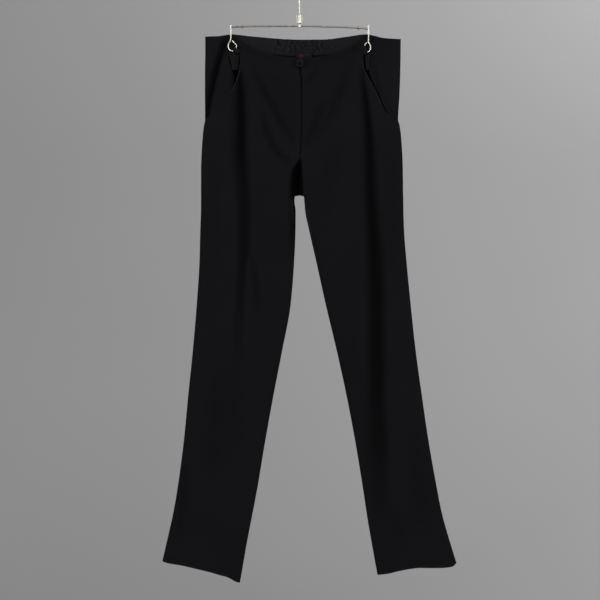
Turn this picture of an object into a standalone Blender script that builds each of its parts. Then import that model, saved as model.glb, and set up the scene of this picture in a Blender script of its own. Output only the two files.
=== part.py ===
"""Slim black trousers hung flat by two small hooks on a thin wire hanger.

Frame: X to the right as seen from the front, Y away from the viewer, Z up. The origin is the inside crown of
the hanger's top hook, where a rail carries it. "left" and "right" are as seen from the front.
All sizes below are in millimetres. A "drop" is a distance down from the origin, so z = -drop.
"""

import math
from collections import namedtuple

import bmesh
import bpy
import numpy as np

MM = 0.001

# Cloth
WALL = 1.2  # thickness of every cloth wall
SEAM = 0.3  # distance between two pieces that are sewn together
ZIP_SLIT = 1.7  # distance between the two fronts along the zip
LAYER = 0.35  # clearance between a piece and the cloth it lies on
EDGE_TURN = 0.04  # how far in a folded edge still runs straight across the seam

# Where things stand down the garment (drops)
WAIST_CORNER = 150.0  # the front waist's outer corners, just below the small hooks
WAIST_SAG = 28.0  # how far the front waist hangs down between them
POCKET_END = 298.0  # lower end of both pocket mouths, at the side edge
HIP_END = 290.0  # lower end of the side pieces
CROTCH_APEX = 368.0  # the front centre seam turns backwards here
CROTCH_BOTTOM = 446.0  # lowest point of the crotch seam
ZIP_BOTTOM = 374.0
ZIP_WIDTH = 22.0
ELASTIC_DEPTH = 36.0  # height of the gathered band at the centre back
GATHER_PITCH = 10.4
GATHER_HEIGHT = 1.5
LAY_DOWN = 200.0  # below this the rows of cloth run straight across

# Hanger
HANGER_WIRE = 1.3  # radius of the top hook, bar and small hooks
HOOK_INNER = 20.0  # inner radius of the top hook
BAR_DROP = 115.0
STEM_END = 94.0
FERRULE_TOP = 92.0
FERRULE_RADIUS = 5.0
COLLARS = {"left": -111.3, "right": 115.0}  # where the collars stand along the bar

# One row for each level where the outline of a leg is measured: side edge and inner edge.
Level = namedtuple("Level", "drop_out x_out drop_in x_in")
LEFT_LEVELS = (
    Level(136, -183.0, 142, 0.6),
    Level(186, -184.1, 190, 0.8),
    Level(212, -184.4, 215, 3.0),
    Level(250, -184.4, 252, 3.7),
    Level(298, -184.0, 298, 3.7),
    Level(308, -186.2, 308, 3.6),
    Level(347, -190.0, 347, 2.8),
    Level(395, -192.0, 395, 0.0),
    Level(444, -192.0, 444, 0.0),
    Level(449, -192.0, 449, -6.8),
    Level(455, -192.0, 455, -9.8),
    Level(475, -192.2, 475, -8.0),
    Level(512, -193.5, 512, -8.0),
    Level(571, -195.0, 571, -10.5),
    Level(658, -200.5, 658, -18.2),
    Level(746, -208.0, 746, -34.0),
    Level(834, -217.0, 834, -50.5),
    Level(922, -225.5, 923, -66.6),
    Level(1010, -237.0, 1013, -81.6),
    Level(1068, -247.0, 1078, -94.0),
    Level(1097, -253.5, 1115, -101.2),
    Level(1158, -267.5, 1196, -116.0),
)
RIGHT_LEVELS = (
    Level(140, 197.5, 142, 0.6),
    Level(186, 196.3, 190, 0.8),
    Level(212, 195.4, 215, 3.0),
    Level(250, 193.8, 252, 3.7),
    Level(298, 191.3, 298, 3.7),
    Level(308, 195.3, 308, 3.6),
    Level(347, 199.5, 347, 2.8),
    Level(395, 201.6, 395, 0.0),
    Level(444, 202.3, 444, 0.0),
    Level(449, 202.4, 449, 6.2),
    Level(455, 202.5, 455, 9.2),
    Level(475, 202.8, 475, 11.8),
    Level(512, 204.0, 512, 18.6),
    Level(571, 208.6, 571, 32.4),
    Level(658, 217.0, 658, 52.2),
    Level(746, 226.5, 746, 73.0),
    Level(834, 238.6, 834, 91.4),
    Level(922, 251.5, 922, 108.2),
    Level(1010, 267.0, 1012, 123.0),
    Level(1068, 278.6, 1074, 132.4),
    Level(1097, 286.6, 1107, 138.0),
    Level(1160, 306.0, 1182, 152.0),
)

# The front's upper outer edge: beside the loop, then down the pocket mouth to the side.
Mouth = namedtuple("Mouth", "drop x y")
LEFT_MOUTH = (
    Mouth(150, -111.0, -5.5),
    Mouth(171, -114.5, -6.5),
    Mouth(202, -118.0, -7.5),
    Mouth(223, -123.8, -7.0),
    Mouth(237, -130.0, -6.0),
    Mouth(250, -138.0, -4.6),
    Mouth(260, -148.0, -3.8),
    Mouth(274, -165.0, -3.6),
    Mouth(288, -175.0, -3.4),
    Mouth(298, -184.0, -3.2),
)
RIGHT_MOUTH = (
    Mouth(150, 118.0, -5.5),
    Mouth(165, 122.0, -5.8),
    Mouth(196, 126.0, -5.6),
    Mouth(220, 137.5, -5.0),
    Mouth(245, 151.0, -4.4),
    Mouth(270, 161.5, -4.0),
    Mouth(283, 169.0, -3.8),
    Mouth(290, 181.0, -3.4),
    Mouth(298, 191.3, -3.2),
)

# The back waist's upper edge, highest where the small hooks carry it.
Edge = namedtuple("Edge", "x drop")
BACK_WAIST = (
    Edge(-184, 136.0),
    Edge(-160, 135.6),
    Edge(-134, 131.6),
    Edge(-95, 135.2),
    Edge(-30, 139.6),
    Edge(48, 139.8),
    Edge(92, 136.2),
    Edge(130, 131.6),
    Edge(164, 138.6),
    Edge(198, 140.6),
)

# How deep the garment is, front and back, at its middle and along its legs.
Depth = namedtuple("Depth", "drop centre_front centre_back crown edge")
DEPTHS = (
    Depth(136, 21.0, 12.0, 12.0, 5.0),
    Depth(298, 21.0, 15.0, 14.0, 5.0),
    Depth(376, 20.0, 18.0, 15.0, 5.0),
    Depth(512, 20.0, 18.0, 13.0, 5.5),
    Depth(746, 20.0, 18.0, 10.5, 5.5),
    Depth(922, 20.0, 18.0, 9.0, 5.0),
    Depth(1196, 20.0, 18.0, 8.0, 4.5),
)

# The centre seams seen from the side: how far they have turned towards the crotch's lowest point, how wide the
# round beside them is, and how far behind the middle the inseams lie.
Crotch = namedtuple("Crotch", "drop front back turn inseam")
CROTCH = (
    Crotch(CROTCH_APEX, 0.00, 0.00, 1.0, 4.5),
    Crotch(380, 0.14, 0.00, 3.0, 4.5),
    Crotch(394, 0.50, 0.02, 6.0, 4.5),
    Crotch(410, 0.84, 0.12, 9.0, 4.5),
    Crotch(428, 0.97, 0.42, 11.0, 4.5),
    Crotch(CROTCH_BOTTOM, 1.00, 1.00, 12.0, 4.5),
    Crotch(540, 1.00, 1.00, 11.0, 2.0),
    Crotch(640, 1.00, 1.00, 8.0, 0.0),
    Crotch(1196, 1.00, 1.00, 8.0, 0.0),
)

# Folds of the fronts: a path of three points, how wide the trough is and how deep, pushed inwards.
Fold = namedtuple("Fold", "panel x1 drop1 x2 drop2 x3 drop3 width depth")
MAIN_FOLDS = {
    "left": Fold("front_left", -114, 215, -111, 383, -108, 560, 10.0, 5.0),
    "right": Fold("front_right", 122, 212, 139, 395, 149, 1040, 10.5, 6.5),
}
# How strong the main folds are along their length.
Strength = namedtuple("Strength", "drop left right")
FOLD_STRENGTH = (
    Strength(200, 0.0, 0.0),
    Strength(240, 0.7, 0.75),
    Strength(300, 1.0, 0.9),
    Strength(400, 0.85, 0.65),
    Strength(500, 0.6, 0.8),
    Strength(600, 0.25, 1.0),
    Strength(720, 0.0, 0.95),
    Strength(860, 0.0, 0.6),
    Strength(1040, 0.0, 0.15),
    Strength(1120, 0.0, 0.0),
)
SIDE_FOLDS = (
    Fold("front_left", -97, 215, -62, 290, -26, 350, 11.0, 2.2),
    Fold("front_left", -74, 330, -60, 362, -24, 388, 10.0, 2.0),
    Fold("front_left", -94, 570, -84, 620, -76, 670, 10.0, 2.2),
    Fold("front_right", 98, 190, 82, 270, 32, 350, 12.0, 2.2),
    Fold("front_left", -224, 990, -228, 1050, -234, 1110, 10.0, 1.6),
    Fold("back_left", -60, 260, -90, 380, -40, 440, 14.0, 2.5),
    Fold("back_right", 64, 250, 98, 375, 44, 440, 14.0, 2.5),
    Fold("back_left", -118, 520, -130, 660, -150, 820, 14.0, 3.0),
    Fold("back_right", 128, 500, 146, 690, 172, 900, 14.0, 3.5),
)

# The sharp fold of each side piece, from the small hook down to the pocket's end.
Crease = namedtuple("Crease", "drop left right")
HIP_CREASE = (
    Crease(136, -138.0, 138.0),
    Crease(177, -150.0, 138.5),
    Crease(220, -164.0, 147.0),
    Crease(259, -174.0, 160.0),
    Crease(292, -180.0, 182.0),
)

# The small hooks: the stem, the oval that its curl follows, to the wire's centre line, and the angles between
# which it does so.
Curl = namedtuple("Curl", "stem x drop across down first last")
CURLS = {
    "left": Curl(-134.0, -131.0, 153.2, 8.0, 10.0, 132, 418),
    "right": Curl(134.6, 133.3, 156.0, 5.2, 9.8, 62, -222),
}
CURL_TOP = 112.5
CURL_STEPS = 20

# The loops: bands of cloth from the top of the pocket up behind the small hook, through its curl, over the wire
# and on to the inside of the front's waist corner. One row for each station: the middle of the band, half its
# width, and the angle at which its width lies. The turn over the wire is at an angle of the curl.
Station = namedtuple("Station", "x drop y half tilt")
LOOP_WALL = 1.0
Loop = namedtuple("Loop", "turn_at reach half behind before")
LOOPS = {
    "left": Loop(
        -50, 3.1, 3.6,
        (Station(-127.0, 203, 0.2, 6.4, 0), Station(-127.2, 190, 1.2, 7.4, 0), Station(-127.2, 177, 2.4, 8.4, 0)),
        (Station(-121.4, 163.6, -3.3, 4.2, 52), Station(-116.0, 163.0, -3.5, 4.6, 68),
         Station(-108.5, 162.0, -3.6, 5.0, 78)),
    ),
    "right": Loop(
        256, 3.1, 1.5,
        (Station(132.0, 201, 0.2, 3.6, 0), Station(132.0, 188, 1.2, 5.2, 0), Station(132.2, 177, 2.4, 6.4, 0)),
        (Station(130.8, 171.0, -3.2, 3.2, -14), Station(126.5, 177.0, -3.3, 4.2, -42),
         Station(119.6, 181.0, -3.4, 4.8, -62)),
    ),
}

# The zip's slider and pull tab.
SLIDER_DROP = 184.0
SLIDER_HALF = 4.2
SLIDER_HEIGHT = 11.0
PULL_HALF = 6.0
PULL_LENGTH = 16.0
PULL_THICK = 1.5
PIN_RADIUS = 0.7
PIN_DROP = 181.4
PIN_Y = -27.4

CLOTH_COLOUR = (0.0068, 0.0069, 0.0082, 1.0)
CLOTH_ROUGHNESS = 0.86
NICKEL = (0.62, 0.60, 0.56, 1.0)


def column(table, name):
    """One named column of a table, as an array."""
    return np.array([getattr(row, name) for row in table], float)


def curve_through(xs, ys, at):
    """The smooth monotone curve through (xs, ys), read at the places given."""
    xs, ys = np.asarray(xs, float), np.asarray(ys, float)
    step, rise = np.diff(xs), np.diff(ys)
    slope = rise / step
    tangent = np.zeros(len(xs))
    for i in range(1, len(xs) - 1):
        if slope[i - 1] * slope[i] > 0:
            w1, w2 = 2 * step[i] + step[i - 1], step[i] + 2 * step[i - 1]
            tangent[i] = (w1 + w2) / (w1 / slope[i - 1] + w2 / slope[i])
    tangent[0], tangent[-1] = slope[0], slope[-1]
    at = np.clip(np.asarray(at, float), xs[0], xs[-1])
    i = np.clip(np.searchsorted(xs, at, side="right") - 1, 0, len(xs) - 2)
    t = (at - xs[i]) / step[i]
    return (
        ys[i]
        + t * step[i] * tangent[i]
        + t**2 * (3 * rise[i] - step[i] * (2 * tangent[i] + tangent[i + 1]))
        + t**3 * (step[i] * (tangent[i] + tangent[i + 1]) - 2 * rise[i])
    )


def read(table, key, name, at):
    """Column `name` of a table as a smooth function of its column `key`."""
    return curve_through(column(table, key), column(table, name), at)


def smooth_step(low, high, value):
    """0 below low, 1 above high, and a soft S between them."""
    t = np.clip((np.asarray(value, float) - low) / (high - low), 0, 1)
    return t * t * (3 - 2 * t)


def quarter_turn(distance, width):
    """The round of a folded edge: 0 at the edge, 1 from `width` inwards."""
    t = np.clip(distance / width, 0, 1)
    return np.sqrt(np.clip(1 - (1 - t) ** 2, 0, None))


def front_waist(x):
    """Drop of the front waist's edge, which sags between its two corners."""
    return WAIST_CORNER + WAIST_SAG * (1 - abs((x - 3.0) / 114.5) ** 2.6)


def back_waist(x):
    return curve_through(column(BACK_WAIST, "x"), column(BACK_WAIST, "drop"), x)


class Half:
    """One half of the trousers: where its edges run and how deep its cloth lies."""

    def __init__(self, side):
        self.side = side
        self.sign = -1 if side == "left" else 1
        self.levels = LEFT_LEVELS if side == "left" else RIGHT_LEVELS
        self.mouth = LEFT_MOUTH if side == "left" else RIGHT_MOUTH

    def x_out(self, drop):
        return float(read(self.levels, "drop_out", "x_out", drop))

    def drop_in(self, drop):
        return float(read(self.levels, "drop_out", "drop_in", drop))

    def x_in(self, drop):
        """The inner edge at an outer drop: the centre seam, then the inseam."""
        return float(read(self.levels, "drop_out", "x_in", drop))

    def mouth_x(self, drop):
        return float(read(self.mouth, "drop", "x", drop))

    def mouth_y(self, drop):
        return float(read(self.mouth, "drop", "y", drop))

    def crease_x(self, drop):
        return float(read(HIP_CREASE, "drop", self.side, drop))

    def fold_x(self, drop):
        """Middle of the main fold of this front."""
        fold = MAIN_FOLDS[self.side]
        drops = (fold.drop1, fold.drop2, fold.drop3)
        return float(curve_through(drops, (fold.x1, fold.x2, fold.x3), drop))


def trough(folds, panel, x, drop):
    """How far the folds of one panel push its cloth inwards at a point."""
    total = 0.0
    for fold in folds:
        if fold.panel != panel:
            continue
        best = 1e9
        along = 0.5
        for k in range(25):
            s = k / 24
            px = (1 - s) ** 2 * fold.x1 + 2 * s * (1 - s) * fold.x2 + s * s * fold.x3
            pz = (1 - s) ** 2 * fold.drop1 + 2 * s * (1 - s) * fold.drop2 + s * s * fold.drop3
            far = math.hypot(x - px, drop - pz)
            if far < best:
                best, along = far, s
        ends = math.sin(math.pi * (0.06 + 0.88 * along)) ** 0.5
        total += fold.depth * math.exp(-((best / fold.width) ** 2)) * ends
    return total


def leg_depth(half, facing, t, x, drop, drop_out, width):
    """Depth of the outer face of a front (facing -1) or a back (facing 1), t running from side to inner edge."""
    edge = float(read(DEPTHS, "drop", "edge", drop))
    crown = float(read(DEPTHS, "drop", "crown", drop))
    centre = float(read(DEPTHS, "drop", "centre_front" if facing < 0 else "centre_back", drop))
    into_leg = float(smooth_step(400, 570, drop))
    start = edge
    if facing < 0 and drop_out < POCKET_END:
        start = -half.mouth_y(drop_out)
    open_part = start + (centre - start) * math.sin(math.pi / 2 * t) ** 0.9
    leg_part = edge + crown * max(math.sin(math.pi * t), 0.0) ** 0.9
    full = facing * ((1 - into_leg) * open_part + into_leg * leg_part)

    # The side edge is folded round, but at the pocket mouth the front's edge lies open.
    turned = 1.0 if facing > 0 else float(smooth_step(POCKET_END - 6, POCKET_END + 8, drop_out))
    side_turn = 1 - turned * (1 - quarter_turn(t * width, 9.0))
    out_y = facing * SEAM / 2
    y = full * side_turn + out_y * (1 - side_turn)

    # The inner edge follows the crotch seam and then the inseam.
    moved = float(read(CROTCH, "drop", "front" if facing < 0 else "back", drop))
    turn = float(read(CROTCH, "drop", "turn", drop))
    inseam = float(read(CROTCH, "drop", "inseam", drop))
    in_y = (1 - moved) * facing * centre + moved * (inseam + facing * SEAM / 2)
    inner_turn = quarter_turn((1 - t) * width, turn)
    if drop <= CROTCH_APEX:
        inner_turn = 1.0
    y = y * inner_turn + in_y * (1 - inner_turn)

    # Folds fade out towards the edges, so that the seams still meet.
    fade = float(smooth_step(0, 14, t * width) * smooth_step(0, 12, (1 - t) * width))
    panel = ("front_" if facing < 0 else "back_") + half.side
    push = trough(SIDE_FOLDS, panel, x, drop)
    if facing < 0:
        fold = MAIN_FOLDS[half.side]
        strength = float(read(FOLD_STRENGTH, "drop", half.side, drop))
        push += strength * fold.depth * math.exp(-(((x - half.fold_x(drop)) / fold.width) ** 2))
    return y - facing * push * fade


def gather(x, drop):
    """The puckers that the elastic draws at the centre back."""
    across = float(smooth_step(-56, -40, x) * (1 - smooth_step(52, 68, x)))
    down = 1 - float(smooth_step(0.55, 1.0, (drop - back_waist(x)) / ELASTIC_DEPTH))
    wave = math.sin(2 * math.pi * x / GATHER_PITCH + 0.7 * math.sin(x / 9.0))
    return GATHER_HEIGHT * across * down * wave


def spread(first, last, count):
    """`count` places from first to last, evenly spaced, without the last."""
    return [first + (last - first) * k / count for k in range(count)]


def inner_places(width, turned):
    """Places beside an inner edge: where it is folded round, the last step lies across the fold."""
    return [width - 14.0, width - 7.0, width - 1.9, width - (EDGE_TURN if turned else 0.8), width]


def across_front(width, fold_at, turned):
    """Places across a front, in millimetres from its outer edge: closer at both edges and at the main fold."""
    near = min(max(fold_at, 30.0), width - 48.0)
    reach = 19.0
    places = [0.0, EDGE_TURN, 1.8] + spread(9.0, near - reach, 2)
    places += [near + reach * k / 3 for k in range(-3, 3)]
    places += spread(near + reach, width - 14.0, 3)
    return places + inner_places(width, turned)


def across_back(width, turned):
    """Places across a back, in millimetres from its side edge."""
    return [0.0, EDGE_TURN, 1.8] + spread(9.0, width - 14.0, 6) + inner_places(width, turned)


LOWER_ROWS = (298, 308, 328, 350, 368, 376, 385, 395, 406, 419, 432, 443, 447, 451, 457, 480)
LEG_ROWS = (512, 560, 620, 690, 760, 834, 910, 985, 1048, 1104)
FRONT_ROWS = (150, 164, 182, 202, 220, 236, 249, 260, 273, 286) + LOWER_ROWS + LEG_ROWS
BACK_ROWS = (170, 200, 240, 272) + LOWER_ROWS + LEG_ROWS


def zip_slit(drop):
    """Half the distance between the fronts: the zip's slit, closing to a seam at its lower end."""
    return ZIP_SLIT / 2 + (SEAM / 2 - ZIP_SLIT / 2) * float(smooth_step(ZIP_BOTTOM - 10, ZIP_BOTTOM, drop))


def front_points(half):
    """Rows of points over the outer face of one front, from the waist to the hem."""
    hem = half.levels[-1].drop_out
    rows = []
    for drop_out in FRONT_ROWS + (hem,):
        above = smooth_step(LAY_DOWN, WAIST_CORNER, drop_out) if drop_out < LAY_DOWN else 0.0
        x_out = half.mouth_x(drop_out) if drop_out < POCKET_END else half.x_out(drop_out)
        slit = zip_slit(drop_out) if drop_out < CROTCH_BOTTOM else 0.0
        x_in = half.x_in(drop_out) + half.sign * slit
        low_in = front_waist(0.0) + (drop_out - WAIST_CORNER) * 0.7 if drop_out < 230 else half.drop_in(drop_out)
        low_in = max(low_in, half.drop_in(drop_out))
        width = abs(x_in - x_out)
        row = []
        for place in across_front(width, abs(half.fold_x(drop_out) - x_out), drop_out > CROTCH_APEX + 4):
            t = place / width
            x = x_out + (x_in - x_out) * t
            drop = drop_out + (low_in - drop_out) * t
            drop += above * (front_waist(x) - drop)
            row.append((x, leg_depth(half, -1, t, x, drop, drop_out, width), -drop))
        rows.append(row)
    return rows


def back_points(half):
    """Rows of points over the outer face of one back, and the finer rows of its gathered band."""
    hem = half.levels[-1].drop_out
    rows = []
    for drop_out in BACK_ROWS + (hem,):
        x_out = half.x_out(drop_out)
        slit = SEAM / 2 if drop_out < CROTCH_BOTTOM else 0.0
        x_in = half.x_in(drop_out) + half.sign * slit
        low_in = half.drop_in(drop_out)
        width = abs(x_in - x_out)
        row = []
        for place in across_back(width, drop_out > CROTCH_APEX + 4):
            t = place / width
            x = x_out + (x_in - x_out) * t
            drop = drop_out + (low_in - drop_out) * t
            row.append((x, leg_depth(half, 1, t, x, drop, drop_out, width), -drop))
        rows.append(row)
    return rows


def sheet_object(name, faces_of, facing):
    """An open sheet from a bmesh filled by faces_of, given its wall inwards from the outer face."""
    grid = bmesh.new()
    faces_of(grid)
    bmesh.ops.recalc_face_normals(grid, faces=grid.faces)
    lean = sum((f.normal.y * f.calc_area() for f in grid.faces))
    if lean * facing < 0:
        bmesh.ops.reverse_faces(grid, faces=grid.faces)
    mesh = bpy.data.meshes.new(name)
    grid.to_mesh(mesh)
    grid.free()
    mesh.shade_smooth()
    obj = bpy.data.objects.new(name, mesh)
    wall = obj.modifiers.new("Wall", "SOLIDIFY")
    wall.thickness = WALL * MM
    wall.offset = -1
    wall.use_even_offset = True
    wall.use_quality_normals = True
    return obj


def fill_rows(grid, rows):
    """Quads between neighbouring rows of points."""
    made = [[grid.verts.new([MM * c for c in point]) for point in row] for row in rows]
    for upper, lower in zip(made, made[1:]):
        for k in range(len(upper) - 1):
            grid.faces.new((upper[k], upper[k + 1], lower[k + 1], lower[k]))
    return made


def make_front(half):
    return sheet_object("front_" + half.side, lambda grid: fill_rows(grid, front_points(half)), -1)


def make_back(half):
    """A back with its gathered band on top: the band's rows are finer, and join the rest along one row."""

    def faces(grid):
        made = fill_rows(grid, back_points(half))
        top = made[0]
        inner = [k for k, vert in enumerate(top) if abs(vert.co.x) < 66 * MM]
        first = inner[0] - 1
        width = abs(half.x_in(140) - half.x_out(140))
        coarse = [vert.co.x / MM for vert in top]
        fine = 5

        def columns(k):
            return fine if k >= first else 1

        above = []
        for share in (1.0, 0.72, 0.42, 0.2):
            row = []
            for k in range(len(coarse) - 1):
                count = columns(k)
                for x in spread(coarse[k], coarse[k + 1], count):
                    row.append(x)
            row.append(coarse[-1])
            points = []
            for x in row:
                top_drop = float(back_waist(x))
                drop = top_drop + (-top[0].co.z / MM - top_drop) * (1 - share)
                t = abs(x - coarse[0]) / abs(coarse[-1] - coarse[0])
                y = leg_depth(half, 1, t, x, drop, drop, width) + gather(x, drop)
                points.append(grid.verts.new((x * MM, y * MM, -drop * MM)))
            above.append(points)
        for upper, lower in zip(above, above[1:]):
            for k in range(len(upper) - 1):
                grid.faces.new((upper[k], upper[k + 1], lower[k + 1], lower[k]))
        k = 0
        for c in range(len(coarse) - 1):
            run = above[-1][k : k + columns(c) + 1]
            grid.faces.new([top[c], *run, top[c + 1]])
            k += columns(c)

    return sheet_object("back_" + half.side, faces, 1)


def hip_depth(half, x, drop, out):
    """Depth of a side piece's face: a bulge beside the side edge, a sharp fold, and a flatter part to the mouth."""
    mouth = half.mouth_x(drop)
    sign = half.sign
    crease = half.crease_x(drop)
    crease = -sign * max(-sign * crease, -sign * out + 3.0)
    crease = sign * max(sign * crease, sign * mouth + 5.0) if sign * mouth + 5.0 < sign * out else crease
    level = 4.3 - 4.6 * float(smooth_step(205, 285, drop))
    outer_span = abs(out - crease)
    s = abs(out - x) / outer_span
    y = level * min(s, 1.0)
    if s < 1:
        y -= min(8.5 if half.side == "left" else 6.5, 0.34 * outer_span) * max(math.sin(math.pi * s), 0) ** 0.5
    else:
        inner_span = abs(crease - mouth) - 2.0
        s = abs(x - crease) / max(inner_span, 1.0)
        if s < 1:
            low = float(smooth_step(185, 215, drop))
            y -= low * min(3.5, 0.3 * inner_span) * math.sin(math.pi * s) ** 0.8
    return y - 1.5 * SEAM


def hip_top(half, x):
    """Upper edge of a side piece: with the back waist as far as the small hook, then down to the front's corner."""
    past = float(smooth_step(134, 106, abs(x)))
    return float(back_waist(x)) + 1.0 + past * 17.0


def make_hip(half):
    rows = []
    for share in (0.0, 0.12, 0.25, 0.38, 0.5, 0.6, 0.7, 0.8, 0.9, 1.0):
        side_top = hip_top(half, half.x_out(140))
        out = half.x_out(side_top + (HIP_END - side_top) * share)
        level = WAIST_CORNER + (HIP_END - WAIST_CORNER) * share
        under = 12.0 - 9.0 * float(smooth_step(235, HIP_END, level))
        inner = half.mouth_x(level) - half.sign * under
        crease = half.crease_x(level)
        width = abs(out - inner)
        bend = min(max(abs(out - crease), 0.3 * width), 0.72 * width)
        places = [0.0, EDGE_TURN, 1.8] + spread(min(7.5, 0.5 * bend), bend - min(4.0, 0.2 * bend), 2)
        places += [bend - min(4.0, 0.2 * bend), bend, bend + 0.1 * (width - bend)]
        places += [bend + (width - bend) * s for s in (0.35, 0.6, 0.8, 1.0)]
        row = []
        for place in places:
            x = out - half.sign * place
            top = hip_top(half, x)
            drop = top + (HIP_END - top) * share
            row.append((x, hip_depth(half, x, drop, out), -drop))
        rows.append(row)
    return sheet_object("hip_" + half.side, lambda grid: fill_rows(grid, rows), -1)


def on_curl(curl, degrees):
    """Point of a small hook's curl (x, z), the angle counted from +X upwards."""
    angle = math.radians(degrees)
    return curl.x + curl.across * math.cos(angle), -curl.drop + curl.down * math.sin(angle)


def make_loop(half):
    """A band of cloth behind the small hook, through its curl and over its wire to the front's waist corner."""
    loop, curl = LOOPS[half.side], CURLS[half.side]
    angle = math.radians(loop.turn_at)
    wire_x, wire_z = on_curl(curl, loop.turn_at)
    tangent = np.array((-curl.across * math.sin(angle), curl.down * math.cos(angle)))
    tangent /= np.linalg.norm(tangent) * (1 if tangent[0] > 0 else -1)
    away = np.array((tangent[1], -tangent[0]))
    stations = []
    for row in loop.behind:
        stations.append((row.x, -row.drop, row.y, row.half, row.tilt))
    tilt = math.degrees(math.atan2(tangent[1], tangent[0]))
    for degrees in (80, 42, 0, -42, -80):
        turn = math.radians(degrees)
        inward = loop.reach * math.cos(turn)
        x, z = wire_x - away[0] * inward, wire_z - away[1] * inward
        stations.append((x, z, loop.reach * math.sin(turn), loop.half, tilt))
    for row in loop.before:
        stations.append((row.x, -row.drop, row.y, row.half, row.tilt))
    rows = []
    for x, z, y, half_width, lean in stations:
        dx, dz = math.cos(math.radians(lean)), math.sin(math.radians(lean))
        rows.append([(x + dx * half_width * s, y, z + dz * half_width * s) for s in (-1, -0.4, 0.4, 1)])
    obj = sheet_object("loop_" + half.side, lambda grid: fill_rows(grid, rows), -1)
    obj.modifiers["Wall"].offset = 0
    obj.modifiers["Wall"].thickness = LOOP_WALL * MM
    return obj


def solid_box(name, size, centre, bevel=0.0):
    """A block with its edges rounded."""
    mesh = bpy.data.meshes.new(name)
    block = bmesh.new()
    bmesh.ops.create_cube(block, size=1.0)
    bmesh.ops.scale(block, vec=[s * MM for s in size], verts=block.verts)
    bmesh.ops.translate(block, vec=[c * MM for c in centre], verts=block.verts)
    block.to_mesh(mesh)
    block.free()
    obj = bpy.data.objects.new(name, mesh)
    if bevel:
        edge = obj.modifiers.new("Edges", "BEVEL")
        edge.width = bevel * MM
        edge.segments = 2
    return obj


def wire_mesh(name, points, radius, sides=2):
    """A round wire along a path, as a closed mesh."""
    data = bpy.data.curves.new(name, "CURVE")
    data.dimensions = "3D"
    data.bevel_depth = radius * MM
    data.bevel_resolution = sides
    data.use_fill_caps = True
    spline = data.splines.new("POLY")
    spline.points.add(len(points) - 1)
    for point, (x, y, z) in zip(spline.points, points):
        point.co = (x * MM, y * MM, z * MM, 1)
    guide = bpy.data.objects.new(name + "_path", data)
    bpy.context.scene.collection.objects.link(guide)
    bpy.context.view_layer.update()
    graph = bpy.context.evaluated_depsgraph_get()
    mesh = bpy.data.meshes.new_from_object(guide.evaluated_get(graph))
    mesh.name = name
    bpy.data.objects.remove(guide)
    shape = bmesh.new()
    shape.from_mesh(mesh)
    bmesh.ops.remove_doubles(shape, verts=shape.verts, dist=0.00001)
    bmesh.ops.recalc_face_normals(shape, faces=shape.faces)
    shape.to_mesh(mesh)
    shape.free()
    mesh.shade_smooth()
    return bpy.data.objects.new(name, mesh)


def turned(name, profile, steps=24):
    """A shape turned about Z from a profile of (radius, z), listed from top to bottom."""
    mesh = bpy.data.meshes.new(name)
    outline = bmesh.new()
    verts = [outline.verts.new((r * MM, 0, z * MM)) for r, z in profile]
    for a, b in zip(verts, verts[1:]):
        outline.edges.new((a, b))
    outline.to_mesh(mesh)
    outline.free()
    obj = bpy.data.objects.new(name, mesh)
    spin = obj.modifiers.new("Turn", "SCREW")
    spin.steps = spin.render_steps = steps
    spin.use_merge_vertices = True
    spin.merge_threshold = 0.00001
    spin.use_normal_calculate = True
    return obj


def smooth_path(points, per_span=6):
    """A smooth path through a few points (Catmull-Rom)."""
    p = [np.array(q, float) for q in points]
    p = [2 * p[0] - p[1]] + p + [2 * p[-1] - p[-2]]
    out = []
    for i in range(1, len(p) - 2):
        for k in range(per_span):
            t = k / per_span
            out.append(
                0.5
                * (
                    2 * p[i]
                    + (p[i + 1] - p[i - 1]) * t
                    + (2 * p[i - 1] - 5 * p[i] + 4 * p[i + 1] - p[i + 2]) * t**2
                    + (3 * p[i] - p[i - 1] - 3 * p[i + 1] + p[i + 2]) * t**3
                )
            )
    return [tuple(q) for q in out] + [tuple(p[-2])]


def make_hanger_hook():
    """The top hook: a stem that swings into an open circle, whose inside crown is the origin."""
    radius = HOOK_INNER + HANGER_WIRE
    stem = [(0, 0, -STEM_END), (0, 0, -74), (0, 0, -58), (1.6, 0, -49), (5.6, 0, -43)]
    arc = []
    for k in range(27):
        angle = math.radians(-58 + 258 * k / 26)
        arc.append((radius * math.cos(angle), 0, radius * math.sin(angle) - HOOK_INNER))
    return wire_mesh("hanger_hook", smooth_path(stem + arc[:1], 3)[:-1] + arc, HANGER_WIRE)


def make_ferrule():
    """A turned ferrule that takes the stem in a blind hole and the bar through its foot."""
    hole = HANGER_WIRE + SEAM
    r = FERRULE_RADIUS
    top, bottom = -FERRULE_TOP, -FERRULE_TOP - 18.4
    profile = [
        (0, top - 4.6), (hole, top - 4.6), (hole, top), (r - 1.2, top), (r, top - 1.2), (r, bottom + 1.0),
        (r - 1.0, bottom), (2.1, bottom), (2.1, bottom - 1.2), (3.2, bottom - 2.2), (3.2, bottom - 6.2),
        (2.4, bottom - 7.2), (0, bottom - 7.2),
    ]
    ferrule = turned("hanger_ferrule", profile)
    cutter = wire_mesh("bar_hole", [(-9, 0, -BAR_DROP), (9, 0, -BAR_DROP)], hole, 4)
    cut = ferrule.modifiers.new("Bar hole", "BOOLEAN")
    cut.operation = "DIFFERENCE"
    cut.object = cutter
    return ferrule, cutter


BAR_POINTS = (
    (-132.4, 0, -116.8), (-108, 0, -115.6), (-55, 0, -115.1), (-9, 0, -BAR_DROP), (9, 0, -BAR_DROP),
    (60, 0, -116.3), (115, 0, -118.4), (133.0, 0, -120.3),
)


def bar_drop(x):
    return -float(curve_through([p[0] for p in BAR_POINTS], [p[2] for p in BAR_POINTS], x))


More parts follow.
